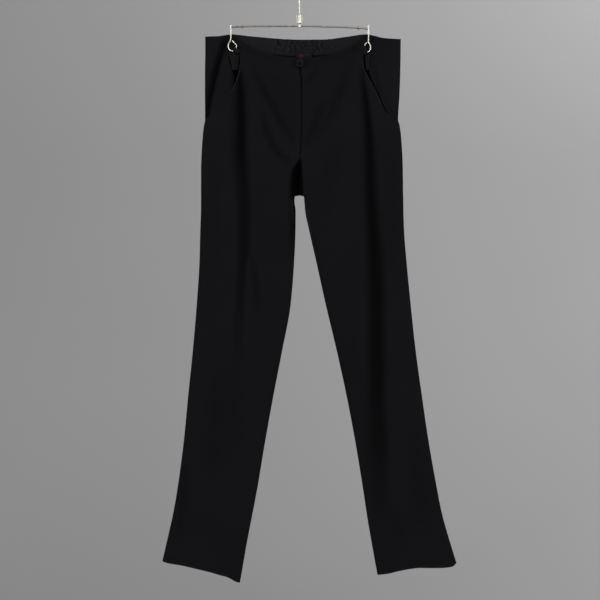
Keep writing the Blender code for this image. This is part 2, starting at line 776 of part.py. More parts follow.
def make_bar():
    xs = [p[0] for p in BAR_POINTS]
    places = spread(xs[0], -9, 8) + spread(-9, 9, 2) + spread(9, xs[-1], 8) + [xs[-1]]
    return wire_mesh("hanger_bar", [(x, 0, -bar_drop(x)) for x in places], HANGER_WIRE, 2)


def make_collar(side, x):
    """A small sliding collar round the bar."""
    hole = HANGER_WIRE + SEAM
    profile = [(hole, 1.9), (2.4, 1.9), (3.0, 1.3), (3.0, -1.3), (2.4, -1.9), (hole, -1.9), (hole, 1.9)]
    obj = turned("hanger_collar_" + side, profile, 20)
    tilt = math.atan2(bar_drop(x + 3) - bar_drop(x - 3), 6.0)
    obj.location = (x * MM, 0, -bar_drop(x) * MM)
    obj.rotation_euler = (0, math.pi / 2 + tilt, 0)
    return obj


def make_ring(half):
    """A small pigtail hook: down past the bar's end, round an open curl and up again."""
    curl = CURLS[half.side]
    path = [(curl.stem, 0, -CURL_TOP), (curl.stem, 0, -128), (curl.stem, 0, -138)]
    for k in range(CURL_STEPS + 1):
        x, z = on_curl(curl, curl.first + (curl.last - curl.first) * k / CURL_STEPS)
        path.append((x, 0, z))
    return wire_mesh("ring_" + half.side, path, HANGER_WIRE)


def make_zip_tape():
    """The zip's tape behind the fronts' slit."""
    grid_rows = []
    left, right = Half("left"), Half("right")
    for drop in (182, 200, 225, 250, 275, 300, 325, 347, 366):
        x_mid = left.x_in(drop)
        row = []
        for x in (-ZIP_WIDTH / 2, -2.4, 2.4, ZIP_WIDTH / 2):
            half = left if x < 0 else right
            out = half.mouth_x(drop) if drop < POCKET_END else half.x_out(drop)
            width = abs(x_mid - out)
            t = 1 - abs(x) / width
            y = leg_depth(half, -1, t, x_mid + x, drop, drop, width)
            row.append((x_mid + x, y + WALL + LAYER, -drop))
        grid_rows.append(row)
    return sheet_object("zip_tape", lambda grid: fill_rows(grid, grid_rows), -1)


def join_blocks(base, others):
    """Union of several blocks into the first."""
    for other in others:
        add = base.modifiers.new("Add " + other.name, "BOOLEAN")
        add.operation = "UNION"
        add.object = other
    return base


def make_slider():
    """The slider's front plate with two cheeks and the cross pin that carries the pull tab."""
    x = 0.8
    y_back = PIN_Y + 3.4
    plate = solid_box(
        "zip_slider", (2 * SLIDER_HALF, 1.4, SLIDER_HEIGHT), (x, y_back, -SLIDER_DROP - SLIDER_HEIGHT / 2 + 3.4), 0.4
    )
    helpers = []
    for k in (-1, 1):
        cheek = solid_box("cheek_helper", (1.2, 4.3, 3.0), (x + k * 3.0, PIN_Y + 1.1, -PIN_DROP), 0.3)
        helpers.append(cheek)
    pin = wire_mesh("pin_helper", [(x - 3.3, PIN_Y, -PIN_DROP), (x + 3.3, PIN_Y, -PIN_DROP)], PIN_RADIUS, 2)
    neck = solid_box("neck_helper", (1.0, 3.4, 6.0), (x, y_back + 2.0, -SLIDER_DROP - 1.0))
    helpers += [pin, neck]
    return join_blocks(plate, helpers), helpers


def make_pull():
    """The pull tab: a rounded plate with a sunk middle, hanging by an eye from the slider's pin."""
    x = 0.8
    y = PIN_Y - 0.75
    low = PIN_DROP + PULL_LENGTH
    plate = solid_box(
        "zip_pull", (2 * PULL_HALF, PULL_THICK, PULL_LENGTH - 3.4), (x, y, -(PIN_DROP + 3.4 + low) / 2), 0.5
    )
    tongue = solid_box("tongue_helper", (3.6, 2.9, 5.6), (x, PIN_Y, -PIN_DROP - 1.1), 0.5)
    hole = wire_mesh("eye_helper", [(x - 5, PIN_Y, -PIN_DROP), (x + 5, PIN_Y, -PIN_DROP)], PIN_RADIUS + SEAM, 2)
    sunk = solid_box("sunk_helper", (8.4, 1.2, 8.6), (x, y - PULL_THICK / 2 - 0.2, -(PIN_DROP + 3.4 + low) / 2))
    join_blocks(plate, [tongue])
    for cutter in (hole, sunk):
        cut = plate.modifiers.new("Cut " + cutter.name, "BOOLEAN")
        cut.operation = "DIFFERENCE"
        cut.object = cutter
    return plate, [tongue, hole, sunk]


def make_label():
    """The small tab inside the centre back, just clear of the gathers."""
    rows = []
    for drop in (156, 165, 174):
        row = []
        for x in (-7.0, 3.5, 14.0, 24.5):
            half = Half("left" if x < 0.5 else "right")
            width = abs(half.x_in(drop) - half.x_out(drop))
            t = min(abs(x - half.x_out(drop)) / width, 1.0)
            y = leg_depth(half, 1, t, x, drop, drop, width)
            row.append((x, y - WALL - GATHER_HEIGHT - 2.2, -drop))
        rows.append(row)
    return sheet_object("label", lambda grid: fill_rows(grid, rows), -1)


def material(name, colour, roughness, metallic=0.0):
    made = bpy.data.materials.new(name)
    made.use_nodes = True
    shader = made.node_tree.nodes["Principled BSDF"]
    shader.inputs["Base Color"].default_value = colour
    shader.inputs["Roughness"].default_value = roughness
    shader.inputs["Metallic"].default_value = metallic
    return made


def clear_scene():
    for obj in list(bpy.data.objects):
        bpy.data.objects.remove(obj)


def main():
    clear_scene()
    parts = bpy.data.collections.new("slim_trousers_on_hanger")
    helpers = bpy.data.collections.new("cutters")
    bpy.context.scene.collection.children.link(parts)
    bpy.context.scene.collection.children.link(helpers)

    def keep(obj, colour, roughness, metallic=0.0):
        parts.objects.link(obj)
        obj.data.materials.append(material(obj.name, colour, roughness, metallic))

    def hide(objects):
        for obj in objects:
            helpers.objects.link(obj)
            obj.hide_render = True
            obj.display_type = "WIRE"

    for side in ("left", "right"):
        half = Half(side)
        for make in (make_front, make_back, make_hip, make_loop):
            keep(make(half), CLOTH_COLOUR, CLOTH_ROUGHNESS)
        keep(make_ring(half), NICKEL, 0.3, 1.0)
    keep(make_zip_tape(), CLOTH_COLOUR, 0.8)
    keep(make_label(), (0.01, 0.01, 0.012, 1), 0.7)
    slider, slider_helpers = make_slider()
    pull, pull_helpers = make_pull()
    keep(slider, (0.05, 0.05, 0.055, 1), 0.4, 1.0)
    keep(pull, (0.05, 0.05, 0.055, 1), 0.4, 1.0)
    hide(slider_helpers + pull_helpers)
    keep(make_hanger_hook(), NICKEL, 0.3, 1.0)
    ferrule, hole = make_ferrule()
    keep(ferrule, NICKEL, 0.35, 1.0)
    hide([hole])
    keep(make_bar(), NICKEL, 0.3, 1.0)
    for side, x in COLLARS.items():
        keep(make_collar(side, x), NICKEL, 0.35, 1.0)


if __name__ == "__main__":
    main()
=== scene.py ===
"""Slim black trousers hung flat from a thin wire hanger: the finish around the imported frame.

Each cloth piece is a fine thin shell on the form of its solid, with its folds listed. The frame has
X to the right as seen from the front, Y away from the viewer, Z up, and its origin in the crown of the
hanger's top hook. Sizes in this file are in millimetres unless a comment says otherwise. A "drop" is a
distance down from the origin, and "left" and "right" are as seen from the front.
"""

import logging
import math
from dataclasses import dataclass
from enum import Enum
from typing import NamedTuple, Sequence

import bmesh
import bpy
import numpy as np
from mathutils import Matrix, Vector
from mathutils.bvhtree import BVHTree
from mathutils.kdtree import KDTree


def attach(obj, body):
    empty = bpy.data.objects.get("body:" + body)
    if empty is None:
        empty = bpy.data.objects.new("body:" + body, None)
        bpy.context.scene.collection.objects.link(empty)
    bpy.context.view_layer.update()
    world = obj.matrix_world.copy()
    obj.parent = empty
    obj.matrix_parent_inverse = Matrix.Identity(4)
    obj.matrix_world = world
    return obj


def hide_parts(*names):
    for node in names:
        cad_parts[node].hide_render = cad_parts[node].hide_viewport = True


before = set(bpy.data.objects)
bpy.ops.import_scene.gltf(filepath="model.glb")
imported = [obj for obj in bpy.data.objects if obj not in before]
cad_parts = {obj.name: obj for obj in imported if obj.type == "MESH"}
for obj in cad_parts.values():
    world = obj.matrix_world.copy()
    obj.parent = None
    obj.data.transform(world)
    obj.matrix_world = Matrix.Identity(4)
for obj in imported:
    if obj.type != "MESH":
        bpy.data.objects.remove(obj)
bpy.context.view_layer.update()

log = logging.getLogger("trousers")

Array = np.ndarray
Colour = tuple[float, float, float]

MM = 0.001
# The cloth's thickness, the gaps at seams, at the zip and between layers, the rounding of cut edges, and the
# wire's radius.
WALL = 1.2
SEAM = 0.08
ZIP_SLIT = 1.7
LAYER = 0.35
CLOTH_RIM = 0.3
WIRE = 1.3
# The front waist's edge: its corners' drop, how far it sags between them, its middle and half its width.
WAIST_CORNER = 150.0
WAIST_SAG = 28.0
WAIST_MIDDLE = 3.0
WAIST_HALF = 114.5
# Drops: where a front's rows have turned from along its waist to level, and where its openings end.
LAY_DOWN = 200.0
POCKET_END = 298.0
HIP_END = 299.0
CROTCH_APEX = 368.0
ZIP_BOTTOM = 374.0
CROTCH_BOTTOM = 446.0
# The gathers at the centre back.
ELASTIC_DEPTH = 36.0
GATHER_PITCH = 10.4
GATHER_HEIGHT = 2.2


class Side(Enum):
    """The two halves of the garment, as seen from the front."""

    LEFT = "left"
    RIGHT = "right"


class Face(Enum):
    """Which way a panel of cloth faces."""

    FRONT = -1
    BACK = 1


class Level(NamedTuple):
    """Where a leg's side edge and inner edge are."""

    drop_out: float
    x_out: float
    drop_in: float
    x_in: float


class Mouth(NamedTuple):
    """A point of the front's edge at the pocket mouth."""

    drop: float
    x: float
    y: float


class Depth(NamedTuple):
    """How deep the garment is at one drop."""

    drop: float
    centre_front: float
    centre_back: float
    crown: float
    edge: float


class Crotch(NamedTuple):
    """How far the centre seams have turned under, the width of their round, and the inseam's place."""

    drop: float
    front: float
    back: float
    turn: float
    inseam: float


class Trough(NamedTuple):
    """A fold: a path of three points, the width of its flanks, and its depth (a ridge where negative)."""

    x1: float
    drop1: float
    x2: float
    drop2: float
    x3: float
    drop3: float
    width: float
    depth: float


class Valley(NamedTuple):
    """A station of a long fold down a leg."""

    drop: float
    x: float
    outer: float
    inner: float
    depth: float


class Station(NamedTuple):
    """A station of a loop's band: its middle, half its width, and the angle at which its width lies."""

    x: float
    drop: float
    y: float
    half: float
    tilt: float


LEVELS = {
    Side.LEFT: (
        Level(136, -183.0, 142, 0.6),
        Level(186, -184.1, 190, 2.0),
        Level(212, -184.4, 215, 4.4),
        Level(250, -184.4, 252, 5.1),
        Level(298, -184.0, 298, 5.1),
        Level(308, -186.2, 308, 5.0),
        Level(347, -190.0, 347, 3.4),
        Level(395, -192.0, 395, 0.0),
        Level(444.5, -192.0, 444.5, 0.0),
        Level(446.5, -192.0, 446.5, -9.0),
        Level(455, -192.0, 455, -9.8),
        Level(475, -192.2, 475, -7.4),
        Level(512, -193.5, 512, -7.7),
        Level(571, -195.0, 571, -10.2),
        Level(658, -200.5, 658, -17.2),
        Level(746, -208.0, 746, -33.4),
        Level(834, -217.0, 834, -50.5),
        Level(922, -225.5, 923, -66.6),
        Level(1010, -237.0, 1013, -81.6),
        Level(1068, -247.0, 1078, -94.0),
        Level(1097, -253.5, 1115, -101.2),
        Level(1158, -267.5, 1196, -116.0),
    ),
    Side.RIGHT: (
        Level(140, 197.5, 142, 0.6),
        Level(186, 197.0, 190, 2.0),
        Level(212, 196.4, 215, 4.4),
        Level(250, 195.0, 252, 5.1),
        Level(298, 192.3, 298, 5.1),
        Level(308, 195.3, 308, 5.0),
        Level(347, 199.5, 347, 3.4),
        Level(395, 201.6, 395, 0.0),
        Level(444.5, 202.3, 444.5, 0.0),
        Level(446.5, 202.4, 446.5, 8.4),
        Level(455, 202.5, 455, 9.2),
        Level(475, 202.8, 475, 11.0),
        Level(512, 204.0, 512, 18.6),
        Level(571, 208.6, 571, 32.0),
        Level(658, 217.0, 658, 51.2),
        Level(746, 226.5, 746, 72.2),
        Level(834, 238.6, 834, 91.4),
        Level(922, 251.5, 922, 108.2),
        Level(1010, 267.0, 1012, 123.0),
        Level(1068, 278.6, 1074, 132.4),
        Level(1097, 286.6, 1107, 138.0),
        Level(1160, 306.0, 1182, 152.0),
    ),
}
MOUTHS = {
    Side.LEFT: (
        Mouth(150, -111.0, -5.5),
        Mouth(171, -114.5, -6.5),
        Mouth(202, -118.0, -7.5),
        Mouth(223, -123.8, -7.0),
        Mouth(237, -130.0, -6.0),
        Mouth(250, -138.0, -4.6),
        Mouth(260, -148.0, -3.8),
        Mouth(274, -165.0, -3.6),
        Mouth(288, -175.0, -3.4),
        Mouth(298, -184.0, -3.2),
    ),
    Side.RIGHT: (
        Mouth(150, 118.0, -5.5),
        Mouth(165, 122.0, -5.8),
        Mouth(196, 126.0, -5.6),
        Mouth(220, 137.5, -5.0),
        Mouth(245, 151.0, -4.4),
        Mouth(270, 161.5, -4.0),
        Mouth(283, 169.0, -3.8),
        Mouth(290, 181.0, -3.4),
        Mouth(298, 191.3, -3.2),
    ),
}
# How far each hem's edge hangs below a straight line, by its distance from the side edge.
HEMS = {
    Side.LEFT: (
        (0, 0.0), (12, 0.2), (22, -0.8), (40, -2.8), (60, -3.4), (90, -3.8),
        (110, -2.8), (126, -2.2), (135, 0.4), (145, 3.4), (152, 3.6),
    ),
    Side.RIGHT: (
        (0, 1.0), (6, 6.0), (12, 6.8), (24, 6.2), (36, 4.6), (50, 2.6), (62, 0.6),
        (76, -1.4), (92, -1.8), (104, -1.0), (118, 0.2), (134, 2.2), (154, 2.4),
    ),
}
# Drop of the back waist's edge, by x.
BACK_WAIST = (
    (-184, 135.0), (-160, 134.6), (-134, 129.6), (-95, 133.2), (-30, 138.1), (0, 139.4),
    (48, 139.0), (92, 134.1), (130, 129.4), (164, 137.0), (198, 139.6),
)
DEPTHS = (
    Depth(136, 21.0, 12.0, 12.0, 5.0),
    Depth(298, 21.0, 15.0, 14.0, 5.0),
    Depth(376, 20.0, 18.0, 15.0, 5.0),
    Depth(512, 20.0, 18.0, 13.0, 5.5),
    Depth(746, 20.0, 18.0, 10.5, 5.5),
    Depth(922, 20.0, 18.0, 9.0, 5.0),
    Depth(1196, 20.0, 18.0, 8.0, 4.5),
)
CROTCH = (
    Crotch(CROTCH_APEX, 0.00, 0.00, 1.0, 4.5),
    Crotch(380, 0.14, 0.00, 3.0, 4.5),
    Crotch(394, 0.50, 0.02, 6.0, 4.5),
    Crotch(410, 0.84, 0.12, 9.0, 4.5),
    Crotch(428, 0.97, 0.42, 11.0, 4.5),
    Crotch(CROTCH_BOTTOM, 1.00, 1.00, 12.0, 4.5),
    Crotch(540, 1.00, 1.00, 11.0, 2.0),
    Crotch(640, 1.00, 1.00, 8.0, 0.0),
    Crotch(1196, 1.00, 1.00, 8.0, 0.0),
)
# X of the sharp fold down each side piece, by drop.
HIP_CREASE = {
    Side.LEFT: ((136, -141.0), (177, -154.0), (220, -165.5), (259, -173.5), (292, -180.0)),
    Side.RIGHT: ((136, 138.0), (177, 138.5), (220, 147.0), (259, 160.0), (292, 182.0)),
}

# The long fold down each front, whose flanks differ.
VALLEYS = {
    Side.LEFT: (
        Valley(196, -117.0, 5.0, 5.0, 0.0),
        Valley(208, -115.0, 5.5, 4.5, 5.5),
        Valley(240, -113.4, 10.5, 5.5, 11.5),
        Valley(270, -112.0, 13.0, 6.0, 14.0),
        Valley(310, -111.4, 13.5, 6.0, 15.0),
        Valley(360, -112.4, 14.0, 8.0, 14.0),
        Valley(400, -112.0, 12.5, 11.0, 11.5),
        Valley(450, -109.4, 13.0, 12.0, 10.0),
        Valley(500, -107.6, 11.5, 11.0, 9.5),
        Valley(550, -107.6, 11.0, 10.0, 9.5),
        Valley(590, -111.8, 8.0, 8.0, 8.0),
        Valley(640, -115.6, 8.0, 8.0, 7.0),
        Valley(690, -117.4, 9.0, 9.0, 6.0),
        Valley(760, -121.0, 9.0, 9.0, 3.0),
        Valley(820, -124.0, 9.0, 9.0, 0.0),
    ),
    Side.RIGHT: (
        Valley(196, 121.0, 3.5, 4.0, 0.0),
        Valley(210, 122.0, 4.0, 4.5, 5.0),
        Valley(239, 125.8, 4.5, 5.5, 8.5),
        Valley(268, 129.7, 6.0, 7.5, 10.5),
        Valley(308, 133.6, 6.5, 8.5, 12.0),
        Valley(356, 136.0, 8.0, 9.5, 12.5),
        Valley(415, 137.0, 11.0, 10.0, 13.0),
        Valley(493, 140.5, 12.5, 11.0, 14.0),
        Valley(571, 145.8, 14.0, 13.0, 15.0),
        Valley(649, 149.6, 14.5, 15.0, 15.0),
        Valley(746, 150.0, 14.0, 16.0, 13.0),
        Valley(844, 150.6, 13.5, 17.0, 10.5),
        Valley(922, 155.5, 14.0, 24.0, 9.0),
        Valley(980, 156.0, 14.5, 25.0, 7.0),
        Valley(1039, 154.0, 15.0, 22.0, 5.0),
        Valley(1100, 151.0, 14.0, 16.0, 1.5),
        Valley(1150, 150.0, 14.0, 16.0, 0.0),
    ),
}

# The shorter folds.
FOLDS = {
    (Side.LEFT, Face.FRONT): (
        Trough(-94, 196, -62, 262, -10, 350, 6.5, 4.4),
        Trough(-71, 284, -66, 356, -14, 388, 6.0, 4.4),
        Trough(-84, 180, -64, 214, -40, 236, 9.0, 0.9),
        Trough(-94, 556, -86, 610, -80, 668, 6.5, 4.0),
        Trough(-38, 205, -30, 260, -8, 330, 13.0, 1.2),
        Trough(-166, 330, -170, 480, -172, 640, 14.0, 1.6),
        Trough(-224, 970, -229, 1050, -236, 1120, 7.0, 2.4),
        Trough(-150, 700, -160, 860, -176, 1010, 15.0, 1.8),
        Trough(-140, 760, -128, 860, -120, 960, 12.0, 1.2),
        Trough(-178, 1020, -160, 1090, -150, 1160, 14.0, -1.0),
        Trough(-140, 440, -146, 560, -150, 700, 10.0, -0.9),
    ),
    (Side.RIGHT, Face.FRONT): (
        Trough(100, 182, 84, 262, 24, 350, 7.0, 2.6),
        Trough(36, 196, 26, 218, 12, 236, 4.5, 2.4),
        Trough(50, 262, 34, 300, 12, 350, 6.0, 3.4),
        Trough(74, 340, 56, 400, 44, 470, 13.0, 1.4),
        Trough(114, 156, 107, 158, 105, 172, 3.4, 2.4),
        Trough(184, 330, 178, 480, 186, 640, 13.0, 1.6),
        Trough(116, 620, 128, 760, 140, 880, 12.0, -1.2),
        Trough(220, 900, 226, 1000, 244, 1100, 13.0, 1.5),
        Trough(168, 1030, 182, 1090, 200, 1150, 11.0, 1.4),
        Trough(96, 700, 112, 800, 120, 900, 12.0, 1.1),
    ),
    (Side.LEFT, Face.BACK): (
        Trough(-60, 260, -90, 380, -30, 440, 10.0, 3.6),
        Trough(-44, 210, -52, 262, -20, 320, 10.0, 2.0),
        Trough(-118, 520, -130, 660, -150, 820, 10.0, 5.0),
        Trough(-150, 640, -120, 690, -70, 700, 8.0, 2.4),
        Trough(-176, 706, -140, 742, -92, 748, 9.0, 2.6),
        Trough(-170, 330, -174, 500, -168, 620, 12.0, 1.8),
        Trough(-228, 980, -220, 1060, -226, 1140, 9.0, 1.8),
        Trough(-150, 900, -160, 1000, -172, 1110, 11.0, 1.6),
    ),
    (Side.RIGHT, Face.BACK): (
        Trough(64, 250, 98, 375, 36, 440, 10.0, 3.6),
        Trough(52, 206, 60, 260, 24, 318, 10.0, 1.9),
        Trough(128, 500, 146, 690, 172, 900, 10.0, 6.0),
        Trough(172, 652, 140, 694, 96, 706, 8.0, 2.4),
        Trough(196, 716, 164, 744, 116, 752, 9.0, 2.6),
        Trough(180, 320, 186, 480, 182, 600, 12.0, 1.8),
        Trough(262, 990, 254, 1070, 268, 1140, 9.0, 1.7),
        Trough(172, 930, 186, 1010, 198, 1110, 11.0, 1.6),
    ),
}

# Half the width of the hollow between the legs at a drop, on each front.
HOLLOWS = {
    Side.LEFT: (
        (366, 0.6), (374, 3.0), (385, 8.5), (393, 14.0), (402, 18.0), (425, 20.5),
        (444.5, 21.0), (446.5, 12.0), (480, 13.5), (571, 11.0), (640, 8.0),
    ),
    Side.RIGHT: (
        (366, 0.6), (374, 3.0), (385, 4.8), (400, 6.2), (425, 7.8), (444.5, 9.0),
        (446.5, 3.6), (475, 4.0), (520, 5.0), (571, 6.5), (640, 8.0),
    ),
}


def smooth_step(low: float, high: float, value: Array) -> Array:
    """0 at low, 1 at high, and a soft S between them."""
    t = np.clip((np.asarray(value, float) - low) / (high - low), 0, 1)
    return t * t * (3 - 2 * t)


def quarter_turn(distance: Array, width: Array) -> Array:
    """The round of a folded edge: 0 at the edge, 1 from `width` inwards."""
    t = np.clip(distance / width, 0, 1)
    return np.sqrt(np.clip(1 - (1 - t) ** 2, 0, None))


def fold_profile(u: Array) -> Array:
    """The cross-section of a fold: steep flanks, a rounded foot and soft shoulders, 1 deep at u = 0."""
    return np.exp(-0.75 * np.abs(u) ** 1.7)


def shade_profile(u: Array) -> Array:
    """How the painted shade deepens across a fold: level over its foot."""
    return np.exp(-0.8 * np.abs(u) ** 2.4)


def ridge(value: Array, middle: float, width: float) -> Array:
    """A smooth bump: 1 at its middle, nearly 0 two widths away."""
    return np.exp(-(((value - middle) / width) ** 2))


def furrow(distance: Array, depth: float, place: float, width: float) -> Array:
    """A furrow, or a ridge where its depth is negative, at a distance from an edge."""
    return depth * ridge(distance, place, width)


def rolled(distance: Array, height: float, width: float) -> Array:
    """How far a rolled edge lies back, by the distance from it."""
    return height * (1 - quarter_turn(distance, width))


class Curve:
    """A smooth monotone curve through a few points."""

    def __init__(self, xs: Sequence[float], ys: Sequence[float]) -> None:
        """Works out the slope at each point.

        Args:
            xs: Where the points are, rising.
            ys: Their values.
        """
        self.xs = np.asarray(xs, float)
        self.ys = np.asarray(ys, float)
        self.step = np.diff(self.xs)
        self.rise = np.diff(self.ys)
        slope = self.rise / self.step
        self.slope = np.zeros(len(self.xs))
        self.slope[0], self.slope[-1] = slope[0], slope[-1]
        for i in range(1, len(slope)):
            if slope[i - 1] * slope[i] > 0:
                w1 = 2 * self.step[i] + self.step[i - 1]
                w2 = self.step[i] + 2 * self.step[i - 1]
                self.slope[i] = (w1 + w2) / (w1 / slope[i - 1] + w2 / slope[i])

    @classmethod
    def column(cls, table: Sequence[NamedTuple], key: str, name: str) -> "Curve":
        """The curve of column `name` over column `key` of a table."""
        return cls([getattr(row, key) for row in table], [getattr(row, name) for row in table])

    def __call__(self, at: Array) -> Array:
        """The curve's value at each place, held level past its ends."""
        at = np.clip(np.asarray(at, float), self.xs[0], self.xs[-1])
        i = np.clip(np.searchsorted(self.xs, at, side="right") - 1, 0, len(self.xs) - 2)
        h, rise, m0, m1 = self.step[i], self.rise[i], self.slope[i], self.slope[i + 1]
        t = (at - self.xs[i]) / h
        second, third = 3 * rise - h * (2 * m0 + m1), h * (m0 + m1) - 2 * rise
        return self.ys[i] + t * h * m0 + t**2 * second + t**3 * third


back_waist = Curve(*zip(*BACK_WAIST))


def front_waist(x: Array) -> Array:
    """Drop of the front waist's edge, which sags between its two corners."""
    return WAIST_CORNER + WAIST_SAG * (1 - np.abs((x - WAIST_MIDDLE) / WAIST_HALF) ** 2.6)


class Half:
    """One half of the trousers: where its edges run."""

    def __init__(self, side: Side) -> None:
        """Reads the half's tables.

        Args:
            side: Which half it is.
        """
        levels = LEVELS[side]
        self.side = side
        self.sign = -1 if side is Side.LEFT else 1
        self.hem = levels[-1].drop_out
        self.x_out = Curve.column(levels, "drop_out", "x_out")
        self.drop_in = Curve.column(levels, "drop_out", "drop_in")
        self.x_in = Curve.column(levels, "drop_out", "x_in")
        self.mouth_x = Curve.column(MOUTHS[side], "drop", "x")
        self.mouth_y = Curve.column(MOUTHS[side], "drop", "y")
        self.crease_x = Curve(*zip(*HIP_CREASE[side]))
        self.hollow = Curve(*zip(*HOLLOWS[side]))
        self.hem_fall = Curve(*zip(*HEMS[side]))
        shape = ("x", "outer", "inner", "depth")
        self.valley = {name: Curve.column(VALLEYS[side], "drop", name) for name in shape}


HALVES = {side: Half(side) for side in Side}


class Form:
    """The outer surface that a front or a back follows."""

    # The width of the round at a side edge, and the power of the sine that a panel's cross-section follows.
    EDGE_ROUND = 9.0
    FULLNESS = 0.9
    # Drops between which the open half turns into a round leg, the free edge at a pocket mouth into a seam,
    # and the hollow between the legs comes and goes, in its form and in its painted shade.
    LEG_FORMS = (400, 570)
    MOUTH_SETTLES = (POCKET_END - 14, POCKET_END + 30)
    MOUTH_SEWN = (POCKET_END - 6, POCKET_END + 8)
    HOLLOW_OPENS = (CROTCH_APEX, 384)
    HOLLOW_CLOSES = (540, 640)
    HOLLOW_PALES = (500, 570)
    # Distances over which folds fade towards the side edge and the inner edge.
    FOLD_FADE = (0, 14)
    INNER_FADE = (0, 12)
    VALLEY_FADE = {Face.FRONT: (0, 5), Face.BACK: (0, 14)}
    # How much painted shade darkens the cloth in the long fold, in the shorter ones, and in both at most,
    # with the depth that gives all of it. Then the painted shade in the hollow, less of it in the left leg's
    # edge below, and the painted shadow at the slit.
    VALLEY_SHADE = 0.61
    VALLEY_FULL = 13.0
    FOLD_SHADE = 0.3
    FOLD_FULL = 4.0
    MOST_SHADE = 0.75
    HOLLOW_SHADE = 0.85
    LEG_EDGE_RELIEF = 0.4
    SLIT_SHADE = 0.3
    SLIT_LOW_SHADE = 0.25
    centre = {
        Face.FRONT: Curve.column(DEPTHS, "drop", "centre_front"),
        Face.BACK: Curve.column(DEPTHS, "drop", "centre_back"),
    }
    moved = {
        Face.FRONT: Curve.column(CROTCH, "drop", "front"),
        Face.BACK: Curve.column(CROTCH, "drop", "back"),
    }
    crown = Curve.column(DEPTHS, "drop", "crown")
    edge = Curve.column(DEPTHS, "drop", "edge")
    turn = Curve.column(CROTCH, "drop", "turn")
    inseam = Curve.column(CROTCH, "drop", "inseam")

    def __init__(self, side: Side, face: Face) -> None:
        """Settles which panel the surface belongs to."""
        self.half = HALVES[side]
        self.face = face

    def depth(self, t: Array, x: Array, drop: Array, drop_out: Array, width: Array) -> Array:
        """Y of the outer surface, with its folds.

        Args:
            t: 0 at the side edge, 1 at the inner edge.
            x: Where the point is across.
            drop: How far down it is.
            drop_out: How far down its row starts at the side edge.
            width: How wide its row is.

        Returns:
            Y of each point.
        """
        facing = self.face.value
        edge = self.edge(drop)
        centre = self.centre[self.face](drop)
        start = edge
        if self.face is Face.FRONT:
            mouth = -self.half.mouth_y(drop_out)
            start = mouth + (edge - mouth) * smooth_step(*self.MOUTH_SETTLES, drop_out)
        into_leg = smooth_step(*self.LEG_FORMS, drop)
        open_part = start + (centre - start) * np.sin(math.pi / 2 * t) ** self.FULLNESS
        leg_part = edge + self.crown(drop) * np.clip(np.sin(math.pi * t), 0, None) ** self.FULLNESS
        y = facing * ((1 - into_leg) * open_part + into_leg * leg_part)

        from_out, from_in = t * width, (1 - t) * width
        sewn = 1.0 if self.face is Face.BACK else smooth_step(*self.MOUTH_SEWN, drop_out)
        side_turn = 1 - sewn * (1 - quarter_turn(from_out, self.EDGE_ROUND))
        y = y * side_turn + facing * SEAM / 2 * (1 - side_turn)

        moved = self.moved[self.face](drop)
        in_y = (1 - moved) * facing * centre + moved * (self.inseam(drop) + facing * SEAM / 2)
        inner_turn = self.inner_turn(from_in, drop)
        y = y * inner_turn + in_y * (1 - inner_turn)
        inner_fade = smooth_step(*self.INNER_FADE, from_in)
        folds = smooth_step(*self.FOLD_FADE, from_out) * inner_fade
        long_fold = smooth_step(*self.VALLEY_FADE[self.face], from_out) * inner_fade
        inwards = folds * (self.push(x, drop) + self.ripple(x, drop)) + long_fold * self.valley(x, drop)
        return y - facing * inwards

    def inner_turn(self, inside: Array, drop: Array) -> Array:
        """How far the cloth has come forward from the centre seam or inseam.

        Args:
            inside: Distance from the seam.
            drop: How far down.

        Returns:
            0 at the seam, 1 where the panel's own surface is reached.
        """
        round_edge = quarter_turn(inside, self.turn(drop))
        if self.face is Face.FRONT:
            wide = self.half.hollow(drop)
            steep = 0.25 * quarter_turn(inside, wide) + 0.75 * smooth_step(0.1 * wide, wide, inside)
            share = smooth_step(*self.HOLLOW_OPENS, drop) * (1 - smooth_step(*self.HOLLOW_CLOSES, drop))
            round_edge = round_edge * (1 - share) + steep * share
        return np.where(drop <= CROTCH_APEX, 1.0, round_edge)

    def push(self, x: Array, drop: Array) -> Array:
        """How far the shorter folds lie inwards at each point."""
        total = np.zeros(np.shape(x))
        for fold in FOLDS[self.half.side, self.face]:
            best = np.full(np.shape(x), 1e9)
            along = np.zeros(np.shape(x))
            for s in np.linspace(0, 1, 41):
                px = (1 - s) ** 2 * fold.x1 + 2 * s * (1 - s) * fold.x2 + s * s * fold.x3
                pz = (1 - s) ** 2 * fold.drop1 + 2 * s * (1 - s) * fold.drop2 + s * s * fold.drop3
                far = np.hypot(x - px, drop - pz)
                along = np.where(far < best, s, along)
                best = np.minimum(best, far)
            ends = np.sin(math.pi * (0.04 + 0.92 * along)) ** 0.7
            u = best / fold.width
            shape = fold_profile(u) if fold.depth > 0 else np.exp(-u * u)
            total += fold.depth * shape * ends
        return total

    def across_valley(self, x: Array, drop: Array) -> tuple[Array, Array]:
        """How far each point is from the long fold's foot, in widths of its flank, and the depth there."""
        if self.face is Face.BACK:
            return np.zeros(np.shape(x)), np.zeros(np.shape(x))
        shape = self.half.valley
        off = (x - shape["x"](drop)) * self.half.sign
        width = np.where(off > 0, shape["outer"](drop), shape["inner"](drop))
        return off / width, shape["depth"](drop)

    def valley(self, x: Array, drop: Array) -> Array:
        """Depth of the long fold down a front."""
        off, depth = self.across_valley(x, drop)
        return depth * fold_profile(off)

    def ripple(self, x: Array, drop: Array) -> Array:
        """The slight unevenness of hanging cloth."""
        turn = 1.7 * self.face.value
        long = np.sin(x / 19.0 + drop / 83.0 + turn) * np.sin(drop / 61.0 - x / 47.0 + turn)
        short = np.sin(x / 8.3 - drop / 37.0) * np.sin(drop / 23.0 + x / 29.0 + turn)
        return 0.45 * long + 0.14 * short

